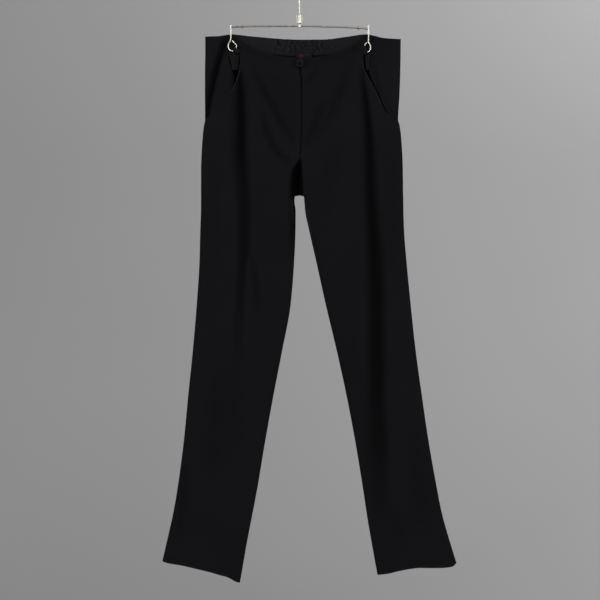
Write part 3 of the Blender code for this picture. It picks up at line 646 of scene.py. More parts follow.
    def tone(self, x: Array, drop: Array, inside: Array) -> Array:
        """Painted shade on the cloth's colour: darker down in a fold, in the hollow between the legs and
        beside the slit.

        Args:
            x: Where each point is across.
            drop: How far down it is.
            inside: Its distance from the inner edge.

        Returns:
            A factor for the cloth's colour.
        """
        off, depth = self.across_valley(x, drop)
        # Painted shade down in the long fold and in the shorter folds.
        deep = self.VALLEY_SHADE * np.clip(depth / self.VALLEY_FULL, 0, 1) * shade_profile(off)
        deep = deep + self.FOLD_SHADE * np.clip(self.push(x, drop) / self.FOLD_FULL, 0, 1)
        tone = 1 - np.clip(deep, 0, self.MOST_SHADE)
        if self.face is Face.BACK:
            return tone
        # Painted shade in the hollow between the legs, less on the left leg's edge below the crotch.
        wide = self.half.hollow(drop)
        share = smooth_step(*self.HOLLOW_OPENS, drop) * (1 - smooth_step(*self.HOLLOW_PALES, drop))
        if self.half.side is Side.LEFT:
            below = smooth_step(CROTCH_BOTTOM, CROTCH_BOTTOM + 14, drop)
            share = share * (1 - self.LEG_EDGE_RELIEF * below)
        tone = tone * (1 - self.HOLLOW_SHADE * share * (1 - smooth_step(0.6 * wide, 1.1 * wide, inside)))
        # Painted shadow on the left front beside the zip's slit.
        if self.half.side is Side.LEFT:
            slit = self.SLIT_SHADE + self.SLIT_LOW_SHADE * (1 - smooth_step(230, 360, drop))
            tone = tone * (1 - slit * (1 - smooth_step(1.2, 3.0, inside)) * (drop < CROTCH_APEX))
        return tone


class PieceMaker:
    """Makes fine shells from grids of points and dresses them."""

    @staticmethod
    def deselect() -> None:
        """Leaves nothing selected."""
        bpy.ops.object.select_all(action="DESELECT")

    @staticmethod
    def grid(name: str, points: Array, facing: Face) -> bpy.types.Object:
        """A grid primitive whose points are moved to a surface.

        Args:
            name: The piece's name.
            points: Rows of points in millimetres, as rows by columns by 3.
            facing: The way the piece's outer side faces.

        Returns:
            The open sheet, with its outer side out and its flat places as its UV map.
        """
        rows, columns = points.shape[:2]
        PieceMaker.deselect()
        bpy.ops.mesh.primitive_grid_add(
            x_subdivisions=columns - 1, y_subdivisions=rows - 1, size=1, calc_uvs=True
        )
        obj = bpy.context.object
        obj.name = obj.data.name = name
        mesh = obj.data
        place = np.zeros(len(mesh.vertices) * 3)
        mesh.vertices.foreach_get("co", place)
        place = place.reshape(-1, 3)
        i = np.rint((place[:, 0] + 0.5) * (columns - 1)).astype(int)
        j = np.rint((0.5 - place[:, 1]) * (rows - 1)).astype(int)
        mesh.vertices.foreach_set("co", (points[j, i] * MM).ravel())
        corner = np.zeros(len(mesh.loops), int)
        mesh.loops.foreach_get("vertex_index", corner)
        mesh.uv_layers[0].data.foreach_set("uv", flat_places(points)[j, i][corner].ravel())
        mesh.update()
        lean = sum((face.normal * face.area for face in mesh.polygons), Vector())
        if lean.y * facing.value < 0:
            mesh.flip_normals()
        log.info("%s: %.4f square metres", name, sum(face.area for face in mesh.polygons))
        return obj

    @staticmethod
    def wall(obj: bpy.types.Object, thickness: float, rim: float = 0.0, offset: float = -1.0) -> None:
        """Gives an open sheet its thickness and rounds its rim.

        Args:
            obj: The sheet.
            thickness: The cloth's thickness in millimetres.
            rim: How far the rim's corners are rounded, in millimetres.
            offset: -1 for a wall inwards of the sheet, 0 for one on both sides.
        """
        bpy.context.view_layer.objects.active = obj
        wall = obj.modifiers.new("Wall", "SOLIDIFY")
        wall.thickness = thickness * MM
        wall.offset = offset
        wall.use_quality_normals = True
        bpy.ops.object.modifier_apply(modifier=wall.name)
        if rim:
            bevel = obj.modifiers.new("Rim", "BEVEL")
            bevel.width = rim * MM
            bevel.segments = 2
            bevel.limit_method = "ANGLE"
            bevel.angle_limit = math.radians(80)
            bpy.ops.object.modifier_apply(modifier=bevel.name)
        PieceMaker.smooth(obj)

    @classmethod
    def shell(cls, name: str, points: Array, facing: Face = Face.FRONT, thickness: float = WALL,
              rim: float = 0.0, offset: float = -1.0) -> bpy.types.Object:
        """A thin shell on a surface: a grid through its points, with its thickness."""
        obj = cls.grid(name, points, facing)
        cls.wall(obj, thickness, rim, offset)
        return obj

    @classmethod
    def block(cls, name: str, size: Sequence[float], centre: Sequence[float],
              rim: float) -> bpy.types.Object:
        """A small box with rounded edges.

        Args:
            name: The piece's name.
            size: Its width, depth and height in millimetres.
            centre: Its middle in millimetres.
            rim: How far its edges are rounded, in millimetres.

        Returns:
            The box.
        """
        cls.deselect()
        bpy.ops.mesh.primitive_cube_add(size=1)
        obj = bpy.context.object
        obj.name = obj.data.name = name
        bpy.ops.object.mode_set(mode="EDIT")
        bpy.ops.transform.resize(value=Vector(size) * MM)
        bpy.ops.transform.translate(value=Vector(centre) * MM)
        bpy.ops.mesh.bevel(offset=rim * MM, segments=2)
        bpy.ops.object.mode_set(mode="OBJECT")
        cls.smooth(obj)
        return obj

    @staticmethod
    def pattern(size: Sequence[float]) -> bpy.types.Mesh:
        """Takes the active primitive's mesh at a size in millimetres, and removes its object."""
        obj = bpy.context.object
        bpy.ops.object.mode_set(mode="EDIT")
        bpy.ops.mesh.select_all(action="SELECT")
        bpy.ops.transform.resize(value=Vector(size) * MM)
        bpy.ops.object.mode_set(mode="OBJECT")
        mesh = obj.data
        bpy.data.objects.remove(obj)
        return mesh

    @staticmethod
    def smooth(obj: bpy.types.Object, degrees: float = 50.0) -> None:
        """Shades a piece smooth up to an angle."""
        PieceMaker.deselect()
        obj.select_set(True)
        bpy.context.view_layer.objects.active = obj
        bpy.ops.object.shade_smooth_by_angle(angle=math.radians(degrees))

    @staticmethod
    def seat(obj: bpy.types.Object, material: bpy.types.Material, slot: str, body: str = "root",
             nodes: Sequence[str] = ()) -> bpy.types.Object:
        """Gives a finished piece its material and body, and hides the nodes it stands for."""
        obj.data.materials.clear()
        obj.data.materials.append(material)
        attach(obj, body)
        if nodes:
            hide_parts(*nodes)
        log.info("%s: %d faces on %s", obj.name, len(obj.data.polygons), body)
        return obj


def flat_places(points: Array) -> Array:
    """Places on the flat cut: lengths along the middle row and down the columns, in metres."""
    across = np.linalg.norm(np.diff(points, axis=1), axis=2).mean(axis=0)
    down = np.linalg.norm(np.diff(points, axis=0), axis=2).mean(axis=1)
    u = np.concatenate([[0], np.cumsum(across)])
    v = np.concatenate([[0], np.cumsum(down)])
    flat = np.stack(np.meshgrid(u, -v), axis=-1)
    return flat * MM


class Tone:
    """A factor for the cloth's colour, stored on each point of a piece: it carries painted shade and painted
    highlights.
    """

    NAME = "tone"

    @classmethod
    def store(cls, obj: bpy.types.Object, points: Array, outer: Array, inner: float | Array = 1.0) -> None:
        """Reads each point's tone from the nearest place of the outer surface.

        Args:
            obj: The finished shell.
            points: The outer surface's points in millimetres.
            outer: The tone of the outer side at each of them.
            inner: The tone of the inner side at each of them.
        """
        flat = points.reshape(-1, 3) * MM
        tree = KDTree(len(flat))
        for index, point in enumerate(flat):
            tree.insert(point, index)
        tree.balance()
        outer = np.broadcast_to(outer, points.shape[:2]).ravel()
        inner = np.broadcast_to(inner, points.shape[:2]).ravel()
        values = []
        for vertex in obj.data.vertices:
            _, index, distance = tree.find(vertex.co)
            values.append(outer[index] if distance < 0.5 * WALL * MM else inner[index])
        mark = obj.data.attributes.new(cls.NAME, "FLOAT", "POINT")
        mark.data.foreach_set("value", values)

    @classmethod
    def plain(cls, obj: bpy.types.Object, value: float = 1.0) -> None:
        """Gives a whole piece one tone."""
        mark = obj.data.attributes.new(cls.NAME, "FLOAT", "POINT")
        mark.data.foreach_set("value", [value] * len(obj.data.vertices))


class Leg:
    """A front or a back, from the waist to the hem."""

    # Places of the outermost columns, how many lie between them and how finely those are spaced out, and how
    # much closer they are near the long fold.
    NEAR_EDGE = (0.0, 0.04, 0.35, 0.8, 1.4, 2.2, 3.2, 4.5, 6.2, 8.2, 10.6, 13.2)
    COLUMNS = 58
    SAMPLES = 240
    FOLD_CROWDING = 2.4
    FOLD_REACH = 17.0
    # Rows: from one drop to another, and their spacing. The last ones are close together above the hem.
    UPPER_ZONES = {
        Face.FRONT: ((150, 230, 1.6), (230, 300, 2.0)),
        Face.BACK: ((170, 300, 2.6),),
    }
    LOWER_ZONES = ((300, 365, 2.6), (365, 470, 1.7), (470, 760, 3.2))
    HEM_ZONE = 16
    BAND_ROWS = 31
    # How far the rows of stitches are from their edges.
    WAIST_STITCH = 9.5
    MOUTH_STITCH = 6.0
    ZIP_STITCH = 9.0
    HEM_STITCH = 5.0
    # Height and width of each rolled rim; depth, place and width of the furrows beside them, which the
    # stitching draws in, and of the ridge along the pocket mouth.
    WAIST_ROLL = (0.9, 1.6)
    WAIST_FURROW = (0.55, WAIST_STITCH, 1.5)
    MOUTH_ROLL = (0.8, 1.2)
    MOUTH_RIDGE = (-0.5, 2.4, 1.6)
    MOUTH_FURROW = (0.45, MOUTH_STITCH, 1.3)
    ZIP_ROLL = (1.2, 2.0)
    ZIP_FURROW = {Side.LEFT: (0.9, ZIP_STITCH, 1.3), Side.RIGHT: (0.5, 4.0, 2.0)}
    HEM_PUCKER = (0.32, HEM_STITCH, 5.0)
    HEM_FURROW = (0.5, HEM_STITCH, 1.2)
    HEM_THICK = 0.45
    # The waist's band, below its edge: where its tone and the zip's furrows change, and by how much.
    BAND_EDGE = (8, 26)
    BAND_SHADE = 0.12
    # The painted highlight on the pocket mouth's turned edge, where it catches the light: how far in it
    # reaches, the drops where it starts and ends, and where the left one dims to half.
    WELT_WIDTH = (1.2, 2.8)
    WELT_STARTS = (192, 204)
    WELT_ENDS = (POCKET_END - 40, POCKET_END - 8)
    WELT_DIMS = (234, 246)
    # How much paler the inner side of a back is along its elastic: partly a lighter elastic, partly painted
    # light.
    INSIDE_TONE = 1.5
    # How far the backs' centre seam lies beside the fronts' slit.
    SEAM_SHIFT = 0.9
    # How steeply a front's upper rows fall at its inner edge, and how far up its uneven hem is felt.
    INNER_SAG = 0.7
    HEM_REACH = 70

    def __init__(self, side: Side, face: Face) -> None:
        """Settles the panel and its surface."""
        self.half = HALVES[side]
        self.face = face
        self.form = Form(side, face)
        self.name = f"{face.name.lower()}_{side.value}"

    def rows(self) -> Array:
        """Drops at the side edge of the panel's rows, closer where the form changes fast."""
        hem = self.half.hem
        zones = self.UPPER_ZONES[self.face] + self.LOWER_ZONES
        zones += ((zones[-1][1], hem - self.HEM_ZONE, 3.6), (hem - self.HEM_ZONE, hem, 1.0))
        rows = [
            np.linspace(low, high, round((high - low) / step), endpoint=False) for low, high, step in zones
        ]
        return np.concatenate(rows + [[hem]])

    def places(self, drop_out: Array, x_out: Array, width: Array) -> Array:
        """Distances from the side edge along each row, closer near both edges and at the long fold."""
        near = np.array(self.NEAR_EDGE)
        rows = []
        for drop, out, wide in zip(drop_out, x_out, width):
            place = np.linspace(near[-1], wide - near[-1], self.SAMPLES)
            weight = np.ones(self.SAMPLES)
            if self.face is Face.FRONT:
                fold = abs(float(self.half.valley["x"](drop)) - out)
                weight += self.FOLD_CROWDING * ridge(place, fold, self.FOLD_REACH)
            total = np.concatenate([[0], np.cumsum((weight[1:] + weight[:-1]) / 2)])
            middle = np.interp(np.linspace(0, total[-1], self.COLUMNS)[1:-1], total, place)
            rows.append(np.concatenate([near, middle, wide - near[::-1]]))
        return np.array(rows)

    def row_ends(self, drop_out: Array) -> tuple[Array, Array, Array]:
        """Where rows start and end.

        Args:
            drop_out: Their drops at the side edge.

        Returns:
            X at the side edge, X at the inner edge, and the drop at the inner edge.
        """
        half = self.half
        x_out = half.x_out(drop_out)
        low_in = half.drop_in(drop_out)
        slit = np.where(drop_out < CROTCH_BOTTOM, SEAM / 2, 0.0)
        if self.face is Face.FRONT:
            x_out = np.where(drop_out < POCKET_END, half.mouth_x(drop_out), x_out)
            closing = smooth_step(ZIP_BOTTOM - 10, ZIP_BOTTOM, drop_out)
            open_slit = ZIP_SLIT / 2 + (SEAM / 2 - ZIP_SLIT / 2) * closing
            slit = np.where(drop_out < CROTCH_BOTTOM, open_slit, 0.0)
            sagging = front_waist(0.0) + (drop_out - WAIST_CORNER) * self.INNER_SAG
            low_in = np.maximum(sagging, low_in)
        else:
            slit = slit + half.sign * self.SEAM_SHIFT * (drop_out < CROTCH_BOTTOM)
        return x_out, half.x_in(drop_out) + half.sign * slit, low_in

    def points(self, drop_out: Array, place: Array) -> tuple[Array, Array]:
        """Points of the outer surface and their tones.

        Args:
            drop_out: The rows' drops at the side edge, one each row.
            place: Distances from the side edge, rows by columns.

        Returns:
            Rows by columns by 3, in millimetres, and rows by columns of tones.
        """
        x_out, x_in, low_in = (end[:, None] for end in self.row_ends(drop_out))
        start = drop_out[:, None]
        width = np.abs(x_in - x_out)
        t = np.clip(place / width, 0, 1)
        x = x_out + (x_in - x_out) * t
        drop = start + (low_in - start) * t
        if self.face is Face.FRONT:
            drop = drop + smooth_step(LAY_DOWN, WAIST_CORNER, start) * (front_waist(x) - drop)
        hem = self.half.hem
        drop = drop + self.half.hem_fall(place) * smooth_step(hem - self.HEM_REACH, hem, start)
        y = self.form.depth(t, x, drop, np.broadcast_to(start, x.shape), width)
        y = y + self.trim(x, drop, start, place, width) + self.hem(x, start)
        tone = self.form.tone(x, drop, width - place)
        if self.face is Face.FRONT:
            welt = smooth_step(*self.WELT_STARTS, start) * (1 - smooth_step(*self.WELT_ENDS, start))
            tone = tone * (1 - self.BAND_SHADE * (1 - smooth_step(*self.BAND_EDGE, drop - front_waist(x))))
            # A painted highlight along the pocket mouth's turned edge.
            painted_highlight = 0.5
            if self.half.side is Side.LEFT:
                painted_highlight = 1 - 0.5 * smooth_step(*self.WELT_DIMS, start)
            tone = tone + painted_highlight * welt * (1 - smooth_step(*self.WELT_WIDTH, place))
        return np.stack([x, y, -drop], axis=-1), tone

    def trim(self, x: Array, drop: Array, start: Array, place: Array, width: Array) -> Array:
        """The small relief along a front's edges: rolled rims and the furrows under its stitching."""
        if self.face is Face.BACK:
            return np.zeros(x.shape)
        below, inner = drop - front_waist(x), width - place
        at_waist = smooth_step(LAY_DOWN + 20, LAY_DOWN - 20, start)
        at_mouth = 1 - smooth_step(POCKET_END - 14, POCKET_END - 2, start)
        at_zip = smooth_step(CROTCH_APEX + 2, CROTCH_APEX - 30, drop)
        sewn = at_zip * smooth_step(*self.BAND_EDGE, below)
        waist = rolled(below, *self.WAIST_ROLL) + furrow(below, *self.WAIST_FURROW)
        mouth = rolled(place, *self.MOUTH_ROLL) + furrow(place, *self.MOUTH_RIDGE)
        mouth = mouth + furrow(place, *self.MOUTH_FURROW)
        zip_furrow = furrow(inner, *self.ZIP_FURROW[self.half.side])
        slit = rolled(inner, *self.ZIP_ROLL) * at_zip + zip_furrow * sewn
        return waist * at_waist + mouth * at_mouth + slit

    def hem(self, x: Array, start: Array) -> Array:
        """The turned hem: a thicker edge, a furrow at its stitching, and small puckers."""
        above = self.half.hem - start
        pucker = np.sin(x / 1.55 + 1.1 * np.sin(x / 5.3)) * (0.6 + 0.4 * np.sin(x / 11.0 + self.face.value))
        y = pucker * furrow(above, *self.HEM_PUCKER) + furrow(above, *self.HEM_FURROW)
        y = y - self.HEM_THICK * (1 - smooth_step(2.5, 5.0, above))
        return -self.face.value * y

    def band(self, top: Array) -> Array:
        """The rows above a back's first row, up to its waist edge, with the elastic's gathers."""
        share = np.linspace(1, 0, self.BAND_ROWS + 1)[:-1, None]
        x = top[None, :, 0]
        low = -top[None, :, 2]
        edge = back_waist(x)
        drop = edge + (low - edge) * (1 - share)
        t = np.abs(x - x[:, :1]) / np.abs(x[:, -1:] - x[:, :1])
        width = np.full(drop.shape, abs(x[0, -1] - x[0, 0]))
        t = np.broadcast_to(t, drop.shape)
        x = np.broadcast_to(x, drop.shape)
        y = self.form.depth(t, x, drop, drop, width) + gathers(x, drop)
        return np.stack([x, y, -drop], axis=-1)

    def inside_tone(self, x: Array, drop: Array) -> Array:
        """The inner side of a back: paler along its elastic, partly as a lighter elastic and partly as
        painted light, with painted shade in the gathers' hollows and painted shadow behind the front's edge.
        """
        # Paler along the elastic, partly as a lighter elastic and partly as painted light, with painted
        # shade in the gathers' hollows.
        lit = 1 - smooth_step(ELASTIC_DEPTH, ELASTIC_DEPTH + 12, drop - back_waist(x))
        tone = 1 + lit * (self.INSIDE_TONE - 1 - 0.2 * gathers(x, drop))
        # Painted shadow just behind the front's waist edge, strongest near the middle.
        behind = smooth_step(-8.0, -5.5, drop - front_waist(x))
        close = smooth_step(-62, -34, x) * (1 - smooth_step(40, 66, x))
        return np.clip(tone, 0.5, 2.2) * (1 - (0.2 + 0.6 * close) * behind)

    def build(self, material: bpy.types.Material) -> bpy.types.Object:
        """Makes the panel's shell.

        Args:
            material: Its cloth.

        Returns:
            The finished piece.
        """
        drop_out = self.rows()
        x_out, x_in, _ = self.row_ends(drop_out)
        points, tone = self.points(drop_out, self.places(drop_out, x_out, np.abs(x_in - x_out)))
        inner: float | Array = 1.0
        if self.face is Face.BACK:
            band = self.band(points[0])
            tone = np.concatenate([np.ones(band.shape[:2]), tone])
            points = np.concatenate([band, points])
            inner = self.inside_tone(points[..., 0], -points[..., 2])
        obj = PieceMaker.shell(self.name + "_cloth", points, self.face, rim=CLOTH_RIM)
        Tone.store(obj, points, tone, inner)
        return PieceMaker.seat(obj, material, "cloth", nodes=[self.name])


def gathers(x: Array, drop: Array) -> Array:
    """The puckers that the elastic draws at the centre back."""
    across = smooth_step(-60, -42, x) * (1 - smooth_step(54, 72, x))
    below = (drop - back_waist(x)) / ELASTIC_DEPTH
    down = 1 - smooth_step(0.6, 1.15, below)
    bend = 1.3 * np.sin(below * 7.0 + x / 7.5) + 0.9 * np.sin(below * 12.0 - x / 4.7)
    wave = np.sin(2 * math.pi * x / GATHER_PITCH + 1.2 * np.sin(x / 9.0) + bend)
    uneven = 0.6 + 0.6 * np.sin(x / 6.1 + 1.3) * np.sin(drop / 5.0 + x / 17.0)
    fine = 0.45 * np.sin(2 * math.pi * x / 5.2 + 1.6 * np.sin(x / 5.0) - bend + drop / 4.0)
    rows = 0.3 * np.cos(2 * math.pi * below * 3.2) ** 4
    return GATHER_HEIGHT * across * down * (wave * uneven + fine - rows)


class HipPiece:
    """The side piece that shows between a pocket mouth and the side edge."""

    # The bulge beside the side edge, the painted shade in the sharp fold, and the swell from there to the
    # mouth.
    BULGE = {Side.LEFT: 9.5, Side.RIGHT: 3.5}
    FOLD_PAINTED_SHADE = {Side.LEFT: 0.62, Side.RIGHT: 0.0}
    INNER = {Side.LEFT: 3.8, Side.RIGHT: 1.2}
    ROWS = 120
    # Depth at the sharp fold, how much of it is lost lower down and between which drops, how steep the
    # bulge's flank is, and how far inside the mouth's edge the piece ends at its top and at its foot.
    DEEP, SHALLOWER, FALL = 4.3, 4.6, (205, 285)
    FLANK = 11.0
    TUCK = (12.0, 3.0)
    TUCK_ENDS = 235
    # How far the piece sinks where the pocket stands open, and its painted shadow there; the ribs' height
    # and painted highlight.
    GAPE_DEPTH = 1.6
    GAPE_PAINTED_SHADOW = 0.88
    RIB_HEIGHT = 0.5
    RIB_PAINTED_HIGHLIGHT = 0.3
    # Two ribs down the right side edge, and the furrow between them: distance from the edge, and width. The
    # ribs get a painted highlight, and the furrow painted shade.
    RIBS = ((4.5, 1.1), (9.5, 1.2))
    FURROW = (7.0, 1.0)
    # How wide the sharp fold's painted shade spreads, outwards and inwards.
    FOLD_SPREAD = (8.0, 4.0)
    # How wide the pocket stands open, by drop.
    GAPE = {
        Side.LEFT: ((150, 26.0), (169, 25.0), (184, 20.5), (199, 14.6), (229, 2.2), (240, 1.0)),
        Side.RIGHT: ((150, 14.0), (190, 12.0), (204, 7.0), (222, 4.2), (247, 2.8), (265, 2.4), (284, 2.0)),
    }
    GAPE_END = {Side.LEFT: (228, 238), Side.RIGHT: (280, 288)}

    def __init__(self, side: Side) -> None:
        """Settles which side it is."""
        self.half = HALVES[side]
        self.name = f"hip_{side.value}"
        self.gape_width = Curve(*zip(*self.GAPE[side]))

    def top(self, x: Array) -> Array:
        """Its upper edge: with the back waist as far as the small hook, then down to the front's corner."""
        past = smooth_step(134, 106, np.abs(x))
        return back_waist(x) + 1.0 + past * 17.0

    def depth(self, x: Array, drop: Array, out: Array) -> Array:
        """Y of its face: a bulge beside the side edge, a sharp fold, and a flatter part up to the mouth."""
        sign = self.half.sign
        mouth = sign * self.half.mouth_x(drop)
        out = sign * out
        crease = np.minimum(sign * self.half.crease_x(drop), out - 3.0)
        crease = np.where(mouth + 5 < out, np.maximum(crease, mouth + 5), crease)
        level = self.DEEP - self.SHALLOWER * smooth_step(*self.FALL, drop)
        span = np.abs(out - crease)
        s = np.clip((out - sign * x) / span, 0, 1)
        high = np.minimum(self.BULGE[self.half.side], 0.4 * span)
        steep = 1 - smooth_step(np.clip(1 - self.FLANK / span, 0.3, 0.9), 1.0, s)
        bulge = high * np.sin(math.pi / 2 * np.clip(s / 0.4, 0, 1)) ** 0.6 * steep
        y = level * s - bulge
        inner = np.maximum(np.abs(crease - mouth) - 2.0, 1.0)
        s = np.clip((crease - sign * x) / inner, 0, 1)
        swell = np.minimum(self.INNER[self.half.side], 0.3 * inner) * smooth_step(165, 200, drop)
        y = y - swell * np.sin(math.pi * s ** 0.7) ** 0.8
        uneven = np.sin(x / 6.0 + drop / 31.0) * np.sin(drop / 19.0)
        y = y + 0.5 * uneven * smooth_step(0, 12, out - sign * x)
        if self.half.side is Side.RIGHT:
            y = y - self.RIB_HEIGHT * self.ribs(out - x)
        closed = smooth_step(*self.GAPE_END[self.half.side], drop)
        close = (1 - smooth_step(4, 15, sign * x - mouth)) * closed
        flush = self.half.mouth_y(drop) + WALL + LAYER
        y = y * (1 - close) + flush * close
        return y + self.GAPE_DEPTH * self.gape(x, drop) - LAYER

    def ribs(self, from_out: Array) -> Array:
        """1 on the ribs beside the side edge, 0 elsewhere."""
        return sum(ridge(from_out, *rib) for rib in self.RIBS)

    def gape(self, x: Array, drop: Array) -> Array:
        """1 where the pocket stands open beside the front's edge, 0 elsewhere."""
        beyond = self.half.sign * (x - self.half.mouth_x(drop))
        shown = smooth_step(160, 172, drop) * (1 - smooth_step(*self.GAPE_END[self.half.side], drop))
        return (1 - smooth_step(-1.2, 0.4, beyond - self.gape_width(drop))) * shown

    def build(self, material: bpy.types.Material) -> bpy.types.Object:
        """Makes the side piece's shell."""
        half = self.half
        side_top = float(self.top(half.x_out(140)))
        share = np.linspace(0, 1, self.ROWS)[:, None]
        out = half.x_out(side_top + (HIP_END - side_top) * share)
        level = WAIST_CORNER + (HIP_END - WAIST_CORNER) * share
        top_tuck, foot_tuck = self.TUCK
        tuck = top_tuck - (top_tuck - foot_tuck) * smooth_step(self.TUCK_ENDS, HIP_END, level)
        inner = half.mouth_x(level) - half.sign * tuck
        crease = half.crease_x(level)
        width = np.abs(out - inner)
        bend = np.clip(np.abs(out - crease), 0.3 * width, 0.72 * width)
        ease = (0.5 - 0.5 * np.cos(np.linspace(0, math.pi, 44)))[None]
        rest = np.linspace(0, 1, 46)[None, 1:]
        place = np.concatenate([bend * ease, bend + (width - bend) * rest], axis=1)
        x = out - half.sign * place
        top = self.top(x)
        drop = top + (HIP_END - top) * share
        y = self.depth(x, drop, np.broadcast_to(out, x.shape))
        points = np.stack([x, y, -drop], axis=-1)
        off = half.sign * (x - half.crease_x(drop))
        outwards, inwards = self.FOLD_SPREAD
        near_fold = shade_profile(np.where(off > 0, off / outwards, off / inwards))
        near_fold = near_fold * smooth_step(136, WAIST_CORNER, drop)
        # Painted shade in the sharp fold, and painted shadow where the pocket stands open.
        tone = (1 - self.FOLD_PAINTED_SHADE[half.side] * near_fold) * (1 - self.GAPE_PAINTED_SHADOW * self.gape(x, drop))
        # A painted highlight on the right piece's ribs, and painted shade in the furrow between them.
        if half.side is Side.RIGHT:
            tone = tone + self.RIB_PAINTED_HIGHLIGHT * (self.ribs(out - x) - ridge(out - x, *self.FURROW))
        obj = PieceMaker.shell(self.name + "_cloth", points, rim=CLOTH_RIM)
        Tone.store(obj, points, tone)
        return PieceMaker.seat(obj, material, "cloth", nodes=[self.name])


@dataclass(frozen=True)
class Curl:
    """A small hook: its stem, the oval that its curl follows between two angles, and its end."""

    stem: float
    x: float
    drop: float
    across: float
    down: float
    first: float
    last: float
    tip: tuple[float, float]

    def at(self, degrees: float) -> tuple[float, float]:
        """Point (x, z) of the curl, the angle counted from +X upwards."""
        angle = math.radians(degrees)
        return self.x + self.across * math.cos(angle), -self.drop + self.down * math.sin(angle)


CURLS = {
    Side.LEFT: Curl(-134.0, -131.0, 153.2, 8.0, 10.0, 132, 368, (-131.6, 143.6)),
    Side.RIGHT: Curl(134.6, 132.6, 156.1, 5.9, 9.0, 70, -252, (131.3, 147.4)),
}


def smooth_path(points: Sequence[Sequence[float]], per_span: int = 8) -> Array:
    """A smooth path through a few points, with that many steps between each two."""
    p = np.array(points, float)
    p = np.vstack([2 * p[0] - p[1], p, 2 * p[-1] - p[-2]])
    out = []
    for i in range(1, len(p) - 2):
        for t in np.arange(per_span) / per_span:
            out.append(0.5 * (2 * p[i] + (p[i + 1] - p[i - 1]) * t
                              + (2 * p[i - 1] - 5 * p[i] + 4 * p[i + 1] - p[i + 2]) * t**2
                              + (3 * p[i] - p[i - 1] - 3 * p[i + 1] + p[i + 2]) * t**3))
    return np.array(out + [p[-2]])


@dataclass(frozen=True)
class LoopBand:
    """A strip of cloth up behind a small hook, through its curl and down to the front's corner."""

    side: Side
    turn_at: float
    reach: float
    half: float
    spread: float
    behind: tuple[Station, ...]
    before: tuple[Station, ...]
    flat: tuple[float, float]

    WALL = 1.0
    RIM = 0.25
    TONE = 1.15
    # Angles round the wire at which the band has a station.
    TURNS = (80, 42, 0, -42, -80)

    def stations(self) -> Array:
        """Rows of x, z, y, half width and tilt along the band."""
        curl = CURLS[self.side]
        angle = math.radians(self.turn_at)
        wire_x, wire_z = curl.at(self.turn_at)
        tangent = np.array((-curl.across * math.sin(angle), curl.down * math.cos(angle)))
        tangent /= np.linalg.norm(tangent) * (1 if tangent[0] > 0 else -1)
        away = np.array((tangent[1], -tangent[0]))
        tilt = math.degrees(math.atan2(tangent[1], tangent[0]))
        rows = [(s.x, -s.drop, s.y, s.half, s.tilt) for s in self.behind]
        for degrees in self.TURNS:
            turn = math.radians(degrees)
            inward = self.reach * math.cos(turn)
            half = self.half + (self.spread - self.half) * max(-math.sin(turn), 0)
            rows.append((wire_x - away[0] * inward, wire_z - away[1] * inward, self.reach * math.sin(turn),
                         half, tilt))
        rows += [(s.x, -s.drop, s.y, s.half, s.tilt) for s in self.before]
        return smooth_path(rows, 7)

    def build(self, material: bpy.types.Material) -> bpy.types.Object:
        """Makes the band with slightly curled edges."""
        rows = self.stations()
        across = np.linspace(-1, 1, 13)[None]
        lean = np.radians(rows[:, 4:5])
        x = rows[:, 0:1] + np.cos(lean) * rows[:, 3:4] * across
        z = rows[:, 1:2] + np.sin(lean) * rows[:, 3:4] * across
        y = rows[:, 2:3] + np.zeros(across.shape)
        points = np.stack([x, y, z], axis=-1)
        name = f"loop_{self.side.value}"
        obj = PieceMaker.shell(name + "_cloth", points, thickness=self.WALL, rim=self.RIM, offset=0.0)
        Tone.plain(obj, self.TONE)
        return PieceMaker.seat(obj, material, "loop_tape", nodes=[name])


LOOPS = (
    LoopBand(
        Side.LEFT, -50, 3.1, 3.6, 3.8,
        (Station(-125.6, 200, 0.2, 6.2, 0), Station(-126.0, 188, 1.2, 7.0, 0),
         Station(-127.0, 175, 2.4, 9.6, 0), Station(-127.6, 167, 3.0, 11.6, 0)),
        (Station(-121.4, 163.6, -3.3, 4.2, 52), Station(-116.0, 163.0, -3.5, 4.6, 68),
         Station(-108.5, 162.0, -3.6, 5.0, 78)),
        (0.012, 0.074),
    ),
    LoopBand(
        Side.RIGHT, 212, 3.1, 4.4, 8.2,
        (Station(132.6, 200, 0.2, 3.0, 0), Station(132.4, 190, 1.0, 3.3, 0),
         Station(132.0, 179, 2.0, 4.2, -4), Station(132.6, 169.5, 3.0, 4.8, -24),
         Station(132.6, 162.0, 3.2, 4.6, -56)),
        (Station(123.0, 162.4, -3.4, 8.4, -74), Station(118.4, 163.4, -3.5, 8.4, -82),
         Station(113.6, 164.0, -3.6, 8.0, -86)),
        (0.01, 0.067),
    ),
)


